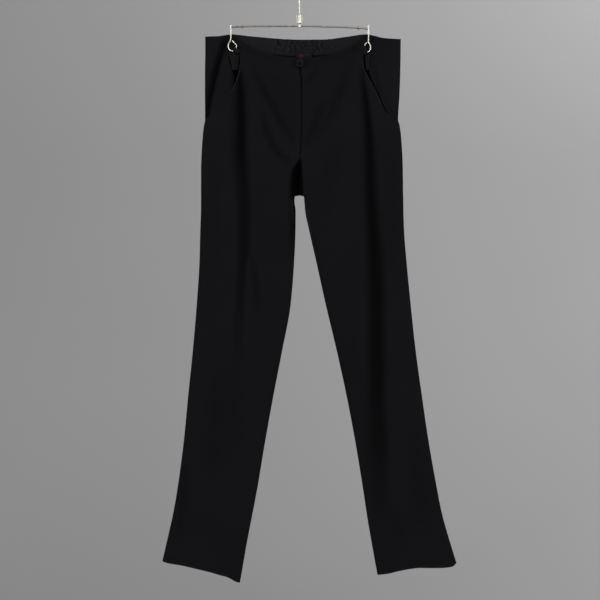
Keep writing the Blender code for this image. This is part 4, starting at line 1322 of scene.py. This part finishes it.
class Nodes:
    """A node tree, with a short way to add joined nodes."""

    def __init__(self, tree: bpy.types.NodeTree) -> None:
        """Takes the tree."""
        self.tree = tree

    def add(self, kind: str, inputs: dict | None = None, **properties: object) -> bpy.types.NodeOutputs:
        """Adds a node.

        Args:
            kind: Its type, without "ShaderNode".
            inputs: For each of its sockets, a value or the other node's socket that feeds it.
            properties: Its settings.

        Returns:
            Its outputs.
        """
        node = self.tree.nodes.new("ShaderNode" + kind)
        for key, value in properties.items():
            setattr(node, key, value)
        self.feed(node, inputs or {})
        return node.outputs

    def feed(self, node: bpy.types.Node, inputs: dict) -> None:
        """Sets or joins a node's inputs."""
        for key, value in inputs.items():
            if isinstance(value, bpy.types.NodeSocket):
                self.tree.links.new(value, node.inputs[key])
            else:
                node.inputs[key].default_value = value

    def math(self, operation: str, *values: object) -> bpy.types.NodeSocket:
        """The result of a sum on values and sockets."""
        return self.add("Math", dict(enumerate(values)), operation=operation)[0]

    def scaled(self, vector: object, factor: object) -> bpy.types.NodeSocket:
        """A vector or a colour times a factor."""
        return self.add("VectorMath", {0: vector, "Scale": factor}, operation="SCALE")[0]


class Shader(Nodes):
    """A material's node tree."""

    def __init__(self, name: str) -> None:
        """Starts a material with its Principled shader."""
        self.material = bpy.data.materials.new(name)
        self.material.use_nodes = True
        super().__init__(self.material.node_tree)

    def finish(self, **inputs: object) -> bpy.types.Material:
        """Feeds the Principled shader, whose sockets are named here with low lines for spaces."""
        bsdf = self.tree.nodes["Principled BSDF"]
        self.feed(bsdf, {key.replace("_", " "): value for key, value in inputs.items()})
        return self.material


class Group(Nodes):
    """An effect that several materials share."""

    def __init__(self, name: str, inputs: dict, outputs: Sequence[str]) -> None:
        """Starts a group with its sockets.

        Args:
            name: The group's name.
            inputs: Each input's name, and its value, or None for a place.
            outputs: The outputs' names.
        """
        super().__init__(bpy.data.node_groups.new(name, "ShaderNodeTree"))
        for label, value in inputs.items():
            kind = "NodeSocketVector" if value is None else "NodeSocketFloat"
            socket = self.tree.interface.new_socket(label, in_out="INPUT", socket_type=kind)
            if value is not None:
                socket.default_value = value
        for label in outputs:
            self.tree.interface.new_socket(label, in_out="OUTPUT", socket_type="NodeSocketFloat")
        self.take = self.tree.nodes.new("NodeGroupInput").outputs
        self.give = self.tree.nodes.new("NodeGroupOutput")


class Groups:
    """The effects that several materials share, each built once."""

    # Brings one thread, a unit of the scaled place, to one band of Blender's wave texture.
    WAVE_SCALE = 0.314

    def __init__(self) -> None:
        """Builds the groups."""
        self.weave = self.make_weave()
        self.mottle = self.make_mottle()

    @classmethod
    def make_weave(cls) -> bpy.types.NodeTree:
        """Warp and weft threads crossing in a twill, from a flat place in metres."""
        group = Group("Twill weave", {"Flat": None, "Threads per metre": 1600.0}, ("Height", "Shade"))
        place = group.scaled(group.take["Flat"], group.take["Threads per metre"])
        shape = {"Vector": place, "Scale": cls.WAVE_SCALE, "Distortion": 0.4, "Detail Scale": 0.5}
        warp, weft, twill = (
            group.add("TexWave", shape, bands_direction=way)["Fac"] for way in ("X", "Y", "DIAGONAL")
        )
        ribs = group.math("MULTIPLY", group.math("MAXIMUM", warp, weft), twill)
        shade = group.add("MapRange", {"Value": ribs, "To Min": 0.78, "To Max": 1.12})[0]
        group.feed(group.give, {"Height": ribs, "Shade": shade})
        return group.tree

    @staticmethod
    def make_mottle() -> bpy.types.NodeTree:
        """Slow and fast unevenness, from a place in metres."""
        inputs = {"Place": None, "Coarse": 8.0, "Fine": 400.0, "Low": 0.9, "High": 1.1}
        group = Group("Mottle", inputs, ("Value", "Grain"))
        take = group.take
        slow = group.add("TexNoise", {"Vector": take["Place"], "Scale": take["Coarse"], "Detail": 3.0})
        fast = group.add("TexNoise", {"Vector": take["Place"], "Scale": take["Fine"], "Detail": 2.0})
        spread = {"Value": slow["Fac"], "From Min": 0.3, "From Max": 0.7, "To Min": take["Low"],
                  "To Max": take["High"]}
        group.feed(group.give, {"Value": group.add("MapRange", spread)[0], "Grain": fast["Fac"]})
        return group.tree

    def uneven(self, shader: Shader, coarse: float, fine: float, spread: float) -> bpy.types.NodeOutputs:
        """Mottle by the object's own place: "Value" within `spread` of 1, and "Grain"."""
        place = shader.add("TexCoord")["Object"]
        inputs = {"Place": place, "Coarse": coarse, "Fine": fine, "Low": 1 - spread, "High": 1 + spread}
        return shader.add("Group", inputs, node_tree=self.mottle)


@dataclass(frozen=True)
class ClothFinish:
    """A woven cloth."""

    name: str
    colour: Colour
    threads: float = 1600.0
    roughness: float = 0.9
    specular: float = 0.09

    RELIEF = 0.00009
    SHEEN = 0.01

    def make(self, groups: Groups) -> bpy.types.Material:
        """The cloth's material, darker and duller where its tone is low; the tone carries painted shade and
        painted highlights.
        """
        shader = Shader(self.name)
        flat = shader.add("UVMap")["UV"]
        threads = {"Flat": flat, "Threads per metre": self.threads}
        weave = shader.add("Group", threads, node_tree=groups.weave)
        mottle = groups.uneven(shader, 9.0, 900.0, 0.1)
        tone = shader.add("Attribute", attribute_name=Tone.NAME)["Fac"]
        shade = shader.math("MULTIPLY", shader.math("MULTIPLY", weave["Shade"], mottle["Value"]), tone)
        fuzz = shader.math("MULTIPLY_ADD", mottle["Grain"], 0.5, weave["Height"])
        bump = shader.add("Bump", {"Height": fuzz, "Distance": self.RELIEF, "Strength": 0.5})
        return shader.finish(
            Base_Color=shader.scaled(self.colour, shade),
            Roughness=self.roughness,
            Specular_IOR_Level=shader.math("MULTIPLY", tone, self.specular),
            Sheen_Weight=self.SHEEN,
            Sheen_Roughness=0.5,
            Normal=bump["Normal"],
        )


@dataclass(frozen=True)
class MetalFinish:
    """A plated or bare metal."""

    name: str
    colour: Colour
    roughness: float
    coarse: float = 120.0
    spread: float = 0.1

    def make(self, groups: Groups) -> bpy.types.Material:
        """The metal's material, slightly uneven in tone and polish."""
        shader = Shader(self.name)
        mottle = groups.uneven(shader, self.coarse, 2500.0, self.spread)
        polish = {"Value": mottle["Grain"], "To Min": self.roughness * 0.7, "To Max": self.roughness * 1.4}
        return shader.finish(
            Base_Color=shader.scaled(self.colour, mottle["Value"]),
            Roughness=shader.add("MapRange", polish)[0],
            Metallic=1.0,
        )


FINISHES = {
    "cloth": ClothFinish("black suiting", (0.0065, 0.0066, 0.0079)),
    "tape": ClothFinish("black tape", (0.0075, 0.0075, 0.0085), threads=1100.0),
    "thread": ClothFinish("black thread", (0.0082, 0.0082, 0.0096), threads=4000.0, roughness=0.7,
                          specular=0.12),
    "label": ClothFinish("black label satin", (0.0082, 0.0082, 0.0098), threads=2600.0, roughness=0.75),
    "red": ClothFinish("red label thread", (0.085, 0.006, 0.012), threads=2600.0, roughness=0.7),
    "nickel": MetalFinish("nickel wire", (0.78, 0.75, 0.68), 0.22),
    # The bar finish's dark brownish colour is painted reflection: it stands in for the dim reflections in
    # chrome.
    "bar": MetalFinish("bar nickel painted reflection", (0.26, 0.215, 0.19), 0.26),
    "satin": MetalFinish("satin nickel", (0.74, 0.71, 0.63), 0.42),
    "gunmetal": MetalFinish("gunmetal", (0.014, 0.014, 0.015), 0.4, coarse=330.0, spread=0.75),
    "enamel": MetalFinish("dark enamel", (0.0055, 0.0055, 0.0055), 0.5, coarse=330.0, spread=0.4),
}


class Hanger:
    """The wire hanger: top hook, ferrule, bar, collars and the two small hooks."""

    HOOK_INNER = 20.0
    STEM = ((0, 0, -94), (0, 0, -74), (0, 0, -58), (1.6, 0, -49), (5.6, 0, -43))
    HOOK_ARC = (-58, 200)
    BAR_RADIUS = 1.5
    BAR = ((-132.4, -116.8), (-108, -115.6), (-55, -115.1), (-9, -115), (9, -115), (60, -116.3),
           (115, -118.4), (133.0, -120.3))
    # Heights of a small hook's stem.
    SMALL_STEM = (-112.5, -128, -138)

    def wire(self, name: str, path: Array, material: bpy.types.Material, node: str,
             radius: float = WIRE) -> bpy.types.Object:
        """A round wire along a path.

        Args:
            name: The piece's name.
            path: Its middle line in millimetres.
            material: Its finish.
            node: The node it stands for.
            radius: Its radius in millimetres.

        Returns:
            The finished wire as a mesh.
        """
        PieceMaker.deselect()
        bpy.ops.curve.primitive_bezier_curve_add(location=(0, 0, 0))
        obj = bpy.context.object
        obj.name = name
        data = obj.data
        data.splines.clear()
        spline = data.splines.new("POLY")
        spline.points.add(len(path) - 1)
        for point, place in zip(spline.points, path):
            point.co = (*(place * MM), 1)
        data.bevel_depth = radius * MM
        data.bevel_resolution = 6
        data.use_fill_caps = True
        bpy.ops.object.convert(target="MESH")
        obj = bpy.context.object
        obj.name = obj.data.name = name
        bpy.ops.object.mode_set(mode="EDIT")
        bpy.ops.mesh.select_all(action="SELECT")
        bpy.ops.mesh.remove_doubles(threshold=0.00001)
        bpy.ops.mesh.normals_make_consistent(inside=False)
        bpy.ops.object.mode_set(mode="OBJECT")
        PieceMaker.smooth(obj)
        return PieceMaker.seat(obj, material, "hanger_wire", nodes=[node])

    def top_hook(self) -> Array:
        """Path of the stem and the open round above it."""
        radius = self.HOOK_INNER + WIRE
        angles = np.radians(np.linspace(*self.HOOK_ARC, 52))
        rise = radius * np.sin(angles) - self.HOOK_INNER
        arc = np.stack([radius * np.cos(angles), 0 * angles, rise], axis=1)
        return np.vstack([smooth_path([*self.STEM, arc[0]], 6)[:-1], arc])

    def bar(self) -> Array:
        """Path of the bar, which falls to both sides."""
        shape = Curve(*zip(*self.BAR))
        xs = np.linspace(self.BAR[0][0], self.BAR[-1][0], 60)
        return np.stack([xs, 0 * xs, shape(xs)], axis=1)

    def small_hook(self, side: Side) -> Array:
        """Path of a small hook: down past the bar's end and round its curl."""
        curl = CURLS[side]
        path = [(curl.stem, 0, z) for z in self.SMALL_STEM]
        for degrees in np.linspace(curl.first, curl.last, 21):
            x, z = curl.at(degrees)
            path.append((x, 0, z))
        path.append((curl.tip[0], 0, -curl.tip[1]))
        return smooth_path(path, 4)

    def build(self, materials: dict[str, bpy.types.Material]) -> None:
        """Makes the wires and dresses the turned fittings."""
        self.wire("top_hook_wire", self.top_hook(), materials["nickel"], "hanger_hook")
        self.wire("bar_wire", self.bar(), materials["bar"], "hanger_bar", self.BAR_RADIUS)
        for side in Side:
            hook = self.small_hook(side)
            self.wire(f"small_hook_{side.value}", hook, materials["nickel"], f"ring_{side.value}")
        dress("hanger_ferrule", materials["satin"])
        for side in Side:
            dress(f"hanger_collar_{side.value}", materials["bar"])


def dress(node: str, material: bpy.types.Material) -> None:
    """Gives a carried-over node its finish."""
    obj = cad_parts[node]
    obj.data.materials.clear()
    obj.data.materials.append(material)


class Skin:
    """A finished piece's surface, to set small things on."""

    def __init__(self, obj: bpy.types.Object, facing: int) -> None:
        """Reads the piece.

        Args:
            obj: The piece.
            facing: -1 to look at it from the front, 1 from the back.
        """
        self.facing = facing
        corners = [vertex.co for vertex in obj.data.vertices]
        self.tree = BVHTree.FromPolygons(corners, [face.vertices for face in obj.data.polygons])

    def at(self, x: float, drop: float) -> tuple[Vector, Vector] | None:
        """The place and the normal at (x, drop), in metres, or None beside the piece."""
        start = Vector((x * MM, self.facing * 0.2, -drop * MM))
        place, normal, _, _ = self.tree.ray_cast(start, Vector((0, -self.facing, 0)))
        return None if place is None else (place, normal)


class Beads:
    """Many copies of one small shape, joined in one mesh."""

    def __init__(self, name: str, pattern: bpy.types.Mesh) -> None:
        """Starts empty.

        Args:
            name: The joined piece's name.
            pattern: The small shape.
        """
        self.name = name
        self.pattern = pattern
        self.shape = bmesh.new()

    def add(self, place: Matrix) -> None:
        """Adds one copy of the pattern."""
        before = len(self.shape.verts)
        self.shape.from_mesh(self.pattern)
        self.shape.verts.ensure_lookup_table()
        bmesh.ops.transform(self.shape, matrix=place, verts=self.shape.verts[before:])

    def finish(self, material: bpy.types.Material, slot: str) -> bpy.types.Object:
        """Makes the joined piece.

        Args:
            material: Its finish.
            slot: The record's slot.

        Returns:
            The finished piece.
        """
        bpy.data.meshes.remove(self.pattern)
        mesh = bpy.data.meshes.new(self.name)
        self.shape.to_mesh(mesh)
        self.shape.free()
        obj = bpy.data.objects.new(self.name, mesh)
        bpy.context.scene.collection.objects.link(obj)
        PieceMaker.smooth(obj, 60)
        Tone.plain(obj)
        return PieceMaker.seat(obj, material, slot)


class Sewing:
    """Rows of stitches on a finished piece."""

    PITCH = 3.0
    STITCH = (0.42, 0.252, 2.1)
    # How far from a stitch's middle the cloth is felt, and how far out of the cloth the stitch lies.
    REACH = 0.6
    LIFT = 0.05

    def __init__(self, name: str, skin: Skin) -> None:
        """Starts a piece of sewing on one surface."""
        self.skin = skin
        PieceMaker.deselect()
        bpy.ops.mesh.primitive_uv_sphere_add(segments=6, ring_count=4, radius=0.5)
        self.beads = Beads(name, PieceMaker.pattern(self.STITCH))

    def run(self, path: Sequence[tuple[float, float]]) -> None:
        """Sews along a path of (x, drop)."""
        line = np.array(path, float)
        steps = np.linalg.norm(np.diff(line, axis=0), axis=1)
        along = np.concatenate([[0], np.cumsum(steps)])
        for middle in np.arange(self.PITCH / 2, along[-1], self.PITCH):
            ends = []
            for place in (middle - self.REACH, middle + self.REACH):
                x, drop = (np.interp(place, along, column) for column in line.T)
                ends.append(self.skin.at(x, drop))
            if None in ends:
                continue
            (first, normal), (second, _) = ends
            run = (second - first).normalized()
            across = run.cross(normal).normalized()
            up = across.cross(run)
            turn = Matrix((across, up, run)).transposed().to_4x4()
            self.beads.add(Matrix.Translation((first + second) / 2 + up * self.LIFT * MM) @ turn)


class Tailor:
    """Sews the edges that are stitched on the real garment."""

    # How far below a back's waist edge the rows that hold its elastic run.
    ELASTIC_ROWS = (6.0, 17.0, 28.0)

    def __init__(self, material: bpy.types.Material) -> None:
        """Takes the thread."""
        self.material = material

    def front(self, side: Side, cloth: bpy.types.Object) -> None:
        """Sews a front's waist edge, pocket mouth, hem and, on the left, the zip's flap."""
        leg = Leg(side, Face.FRONT)
        half = leg.half
        sewing = Sewing(f"stitches_front_{side.value}", Skin(cloth, -1))
        xs = np.linspace(half.sign * 3.0, half.mouth_x(WAIST_CORNER) - half.sign * 3.0, 60)
        sewing.run([(x, front_waist(x) + leg.WAIST_STITCH) for x in xs])
        drops = np.linspace(WAIST_CORNER + 14, POCKET_END - 6, 60)
        sewing.run([(half.mouth_x(d) - half.sign * leg.MOUTH_STITCH, d) for d in drops])
        if side is Side.LEFT:
            drops = np.linspace(front_waist(0) + 12, CROTCH_APEX - 12, 60)
            sewing.run([(half.x_in(d) - ZIP_SLIT / 2 - leg.ZIP_STITCH, d) for d in drops])
        self.hem(leg, sewing)
        sewing.beads.finish(self.material, "cloth")

    def back(self, side: Side, cloth: bpy.types.Object) -> None:
        """Sews a back's hem and the rows that hold its elastic."""
        leg = Leg(side, Face.BACK)
        half = leg.half
        sewing = Sewing(f"stitches_back_{side.value}", Skin(cloth, 1))
        for below in self.ELASTIC_ROWS:
            xs = np.linspace(half.sign * 1.5, half.sign * 66.0, 40)
            sewing.run([(x, float(back_waist(x)) + below) for x in xs])
        self.hem(leg, sewing)
        sewing.beads.finish(self.material, "cloth")

    def hem(self, leg: Leg, sewing: Sewing) -> None:
        """Sews along a panel's hem."""
        start = np.array([leg.half.hem - leg.HEM_STITCH])
        x_out, x_in, low_in = (float(end[0]) for end in leg.row_ends(start))
        share = np.linspace(0.03, 0.97, 40)
        sewing.run([(x_out + (x_in - x_out) * s, start[0] + (low_in - start[0]) * s) for s in share])


class Zip:
    """The tape, the coil's teeth, the slider and the pull tab."""

    TOP = 183.0
    BOTTOM = 366.0
    HALF_WIDTH = 11.0
    COIL_HALF = 2.4
    BEHIND = WALL + 3 * LAYER
    TAPE_TONE = 0.6
    # The teeth: their pitch and size, how far past the middle they lie in turn, and the drops of both ends.
    TOOTH_PITCH = 1.5
    TOOTH = (2.2, 0.9, 0.9)
    TOOTH_SHIFT = 0.55
    FIRST_TOOTH = TOP + 9
    LAST_TOOTH = BOTTOM - 2
    # The plate in the pull tab.
    INLAY_SIZE = (8.0, 0.22, 8.2)
    INLAY_PLACE = (0.8, -28.63, -191.1)
    INLAY_RIM = 0.08

    def __init__(self) -> None:
        """Reads the two fronts that it joins."""
        self.legs = {side: Leg(side, Face.FRONT) for side in Side}

    def under(self, offset: float, drop: float) -> float:
        """Y of the fronts' outer face beside the slit."""
        leg = self.legs[Side.LEFT if offset < 0 else Side.RIGHT]
        middle = float(leg.half.x_in(drop))
        out = float(leg.half.mouth_x(drop) if drop < POCKET_END else leg.half.x_out(drop))
        width = abs(middle - out)
        at = np.array([1 - abs(offset) / width])
        level = np.array([drop])
        return float(leg.form.depth(at, np.array([middle + offset]), level, level, width)[0])

    def tape(self, material: bpy.types.Material) -> bpy.types.Object:
        """The woven tape behind the fronts' slit."""
        half = np.linspace(self.COIL_HALF, self.HALF_WIDTH, 6)
        across = np.concatenate([-half[::-1], half])
        rows = []
        for drop in np.linspace(self.TOP, self.BOTTOM, 70):
            middle = float(HALVES[Side.LEFT].x_in(drop))
            rows.append([(middle + o, self.under(o, drop) + self.BEHIND, -drop) for o in across])
        obj = PieceMaker.shell("zip_tape_cloth", np.array(rows))
        Tone.plain(obj, self.TAPE_TONE)
        return PieceMaker.seat(obj, material, "zip_tape", nodes=["zip_tape"])

    def teeth(self, material: bpy.types.Material) -> bpy.types.Object:
        """The coil's teeth, left and right in turn, down the middle of the tape."""
        PieceMaker.deselect()
        bpy.ops.mesh.primitive_cylinder_add(vertices=8, radius=0.5, depth=1.0, rotation=(0, math.pi / 2, 0))
        bpy.ops.object.transform_apply(location=False, rotation=True, scale=False)
        beads = Beads("zip_teeth", PieceMaker.pattern(self.TOOTH))
        for count, drop in enumerate(np.arange(self.FIRST_TOOTH, self.LAST_TOOTH, self.TOOTH_PITCH)):
            x = float(HALVES[Side.LEFT].x_in(drop)) + (self.TOOTH_SHIFT if count % 2 else -self.TOOTH_SHIFT)
            y = self.under(-self.COIL_HALF, drop) + self.BEHIND - 0.5
            beads.add(Matrix.Translation((x * MM, y * MM, -drop * MM)))
        return beads.finish(material, "zip_tape")

    def inlay(self, material: bpy.types.Material) -> bpy.types.Object:
        """The dark plate that lies in the pull tab's sunk middle."""
        plate = PieceMaker.block("pull_inlay", self.INLAY_SIZE, self.INLAY_PLACE, self.INLAY_RIM)
        return PieceMaker.seat(plate, material, "zip_metal", body="zip_pull")


class LabelTab:
    """The small dark tab inside the centre back, with a plain red bar."""

    # The tab's upper and lower edge as drops, its left and right edge, and how far off the gathers it is.
    TOP, BOTTOM = 156, 174
    LEFT, RIGHT = -7.0, 24.5
    STAND_OFF = 2.2
    # Each mark's name, its middle as x and drop, and its width and height.
    MARKS = (("label_bar", (3.4, 171.4), (8.0, 4.8)), ("label_dash", (15.6, 169.8), (8.4, 1.6)))
    MARK_DEPTH = 0.5
    MARK_LIFT = 0.1
    MARK_RIM = 0.15

    def build(self, material: bpy.types.Material, red: bpy.types.Material) -> bpy.types.Object:
        """Makes the tab just clear of the gathers, and the marks on it."""
        across, down = np.linspace(self.LEFT, self.RIGHT, 24), np.linspace(self.TOP, self.BOTTOM, 16)
        x, drop = np.meshgrid(across, down)
        faces = []
        for side in Side:
            half = HALVES[side]
            out = half.x_out(drop)
            width = np.abs(half.x_in(drop) - out)
            t = np.clip(np.abs(x - out) / width, 0, 1)
            faces.append(Form(side, Face.BACK).depth(t, x, drop, drop, width))
        y = np.where(x < 0.5, *faces) - WALL - GATHER_HEIGHT - self.STAND_OFF
        obj = PieceMaker.shell("label_tab", np.stack([x, y, -drop], axis=-1))
        Tone.plain(obj)
        level = float(y.min()) - self.MARK_LIFT
        for name, (middle, low), (wide, high) in self.MARKS:
            size = (wide, self.MARK_DEPTH, high)
            mark = PieceMaker.block(name, size, (middle, level, -low), self.MARK_RIM)
            Tone.plain(mark)
            PieceMaker.seat(mark, red, "label_cloth")
        return PieceMaker.seat(obj, material, "label_cloth", nodes=["label"])


class Studio:
    """The camera, the plain surround and the soft lights, in metres."""

    EYE = Vector((0.001, -3.2, -0.6488))
    HALF_VIEW = 0.585
    SENSOR_MM = 36.0
    FLOOR = -2.1
    WALL_RADIUS = 5.4
    COVE = 2.2
    WALL_TOP = 4.5
    COVE_STEPS = 14
    PALE = 0.5
    SKY = 0.17
    AIM = (0, 0, -0.65)
    # Name, place, the point it is aimed at, width and height, and watts of each light.
    BOXES = (
        ("left box", (-2.4, -1.9, -0.1), AIM, (1.2, 2.2), 28),
        ("right box", (2.4, -1.9, 0.0), AIM, (1.2, 2.2), 30),
        ("front box", (0.3, -3.3, 1.5), AIM, (2.2, 1.2), 55),
        ("back left box", (-2.0, 2.8, -0.3), (-0.7, 0, -0.65), (1.1, 2.0), 38),
        ("back right box", (2.0, 2.8, -0.5), (0.7, 0, -0.65), (1.1, 2.0), 32),
        ("wall light", (2.9, 2.2, 2.3), (2.2, 5.2, 1.3), (2.0, 2.0), 122),
    )

    def camera(self) -> None:
        """The photograph's level view."""
        data = bpy.data.cameras.new("view")
        data.sensor_width = self.SENSOR_MM
        data.lens = self.SENSOR_MM / 2 * abs(self.EYE.y) / self.HALF_VIEW
        obj = bpy.data.objects.new("view", data)
        obj.location = self.EYE
        obj.rotation_euler = (math.pi / 2, 0, 0)
        bpy.context.scene.collection.objects.link(obj)
        bpy.context.scene.camera = obj

    def surround(self, groups: Groups) -> None:
        """A round pale floor that sweeps up into a wall."""
        PieceMaker.deselect()
        inner = self.WALL_RADIUS - self.COVE
        bpy.ops.mesh.primitive_circle_add(
            vertices=96, radius=inner, fill_type="NGON", location=(0, 0, self.FLOOR)
        )
        obj = bpy.context.object
        obj.name = "surround"
        bpy.ops.object.mode_set(mode="EDIT")
        bpy.ops.mesh.select_all(action="SELECT")
        reach, height = inner, self.FLOOR
        for step in range(1, self.COVE_STEPS + 2):
            angle = min(step, self.COVE_STEPS) / self.COVE_STEPS * math.pi / 2
            radius = inner + self.COVE * math.sin(angle)
            level = self.FLOOR + self.COVE * (1 - math.cos(angle))
            if step > self.COVE_STEPS:
                level = self.WALL_TOP
            bpy.ops.mesh.extrude_edges_move()
            grown = (radius / reach, radius / reach, 1)
            bpy.ops.transform.resize(value=grown, center_override=(0, 0, height))
            bpy.ops.transform.translate(value=(0, 0, level - height))
            reach, height = radius, level
        bpy.ops.object.mode_set(mode="OBJECT")
        PieceMaker.smooth(obj, 60)
        obj.visible_diffuse = False
        obj.visible_shadow = False
        shader = Shader("pale surround")
        mottle = groups.uneven(shader, 0.6, 30.0, 0.02)
        obj.data.materials.append(
            shader.finish(Base_Color=shader.scaled([self.PALE] * 3, mottle["Value"]), Roughness=0.9)
        )

    def light(self, name: str, place: Sequence[float], aim: Sequence[float], size: tuple[float, float],
              watts: float) -> None:
        """A soft rectangular light aimed at a point."""
        data = bpy.data.lights.new(name, "AREA")
        data.shape = "RECTANGLE"
        data.size, data.size_y = size
        data.energy = watts
        obj = bpy.data.objects.new(name, data)
        obj.location = place
        obj.rotation_euler = (Vector(aim) - Vector(place)).to_track_quat("-Z", "Y").to_euler()
        bpy.context.scene.collection.objects.link(obj)

    def lights(self) -> None:
        """An even sky, boxes in front and behind, and one on the wall."""
        world = bpy.data.worlds.new("sky")
        world.use_nodes = True
        sky = world.node_tree.nodes["Background"].inputs
        sky["Color"].default_value = (1.0, 1.0, 1.0, 1)
        sky["Strength"].default_value = self.SKY
        bpy.context.scene.world = world
        for box in self.BOXES:
            self.light(*box)

    def build(self, groups: Groups) -> None:
        """Sets up the studio."""
        self.camera()
        self.surround(groups)
        self.lights()
        bpy.context.scene.view_settings.view_transform = "Standard"


class Trousers:
    """The garment's cloth."""

    def build(self, materials: dict[str, bpy.types.Material]) -> None:
        """Makes each piece of cloth."""
        tailor = Tailor(materials["thread"])
        for side in Side:
            front = Leg(side, Face.FRONT).build(materials["cloth"])
            back = Leg(side, Face.BACK).build(materials["cloth"])
            hip = HipPiece(side).build(materials["cloth"])
            tailor.front(side, front)
            tailor.back(side, back)
        for band in LOOPS:
            strip = band.build(materials["tape"])
        label = LabelTab().build(materials["label"], materials["red"])
        fastening = Zip()
        tape = fastening.tape(materials["tape"])
        fastening.teeth(materials["thread"])
        fastening.inlay(materials["enamel"])
        for node in ("zip_slider", "zip_pull"):
            dress(node, materials["gunmetal"])


def main() -> None:
    """Builds the garment, its hanger and the studio."""
    logging.basicConfig(level=logging.INFO, format="%(message)s")
    groups = Groups()
    materials = {name: finish.make(groups) for name, finish in FINISHES.items()}
    Trousers().build(materials)
    Hanger().build(materials)
    Studio().build(groups)


main()
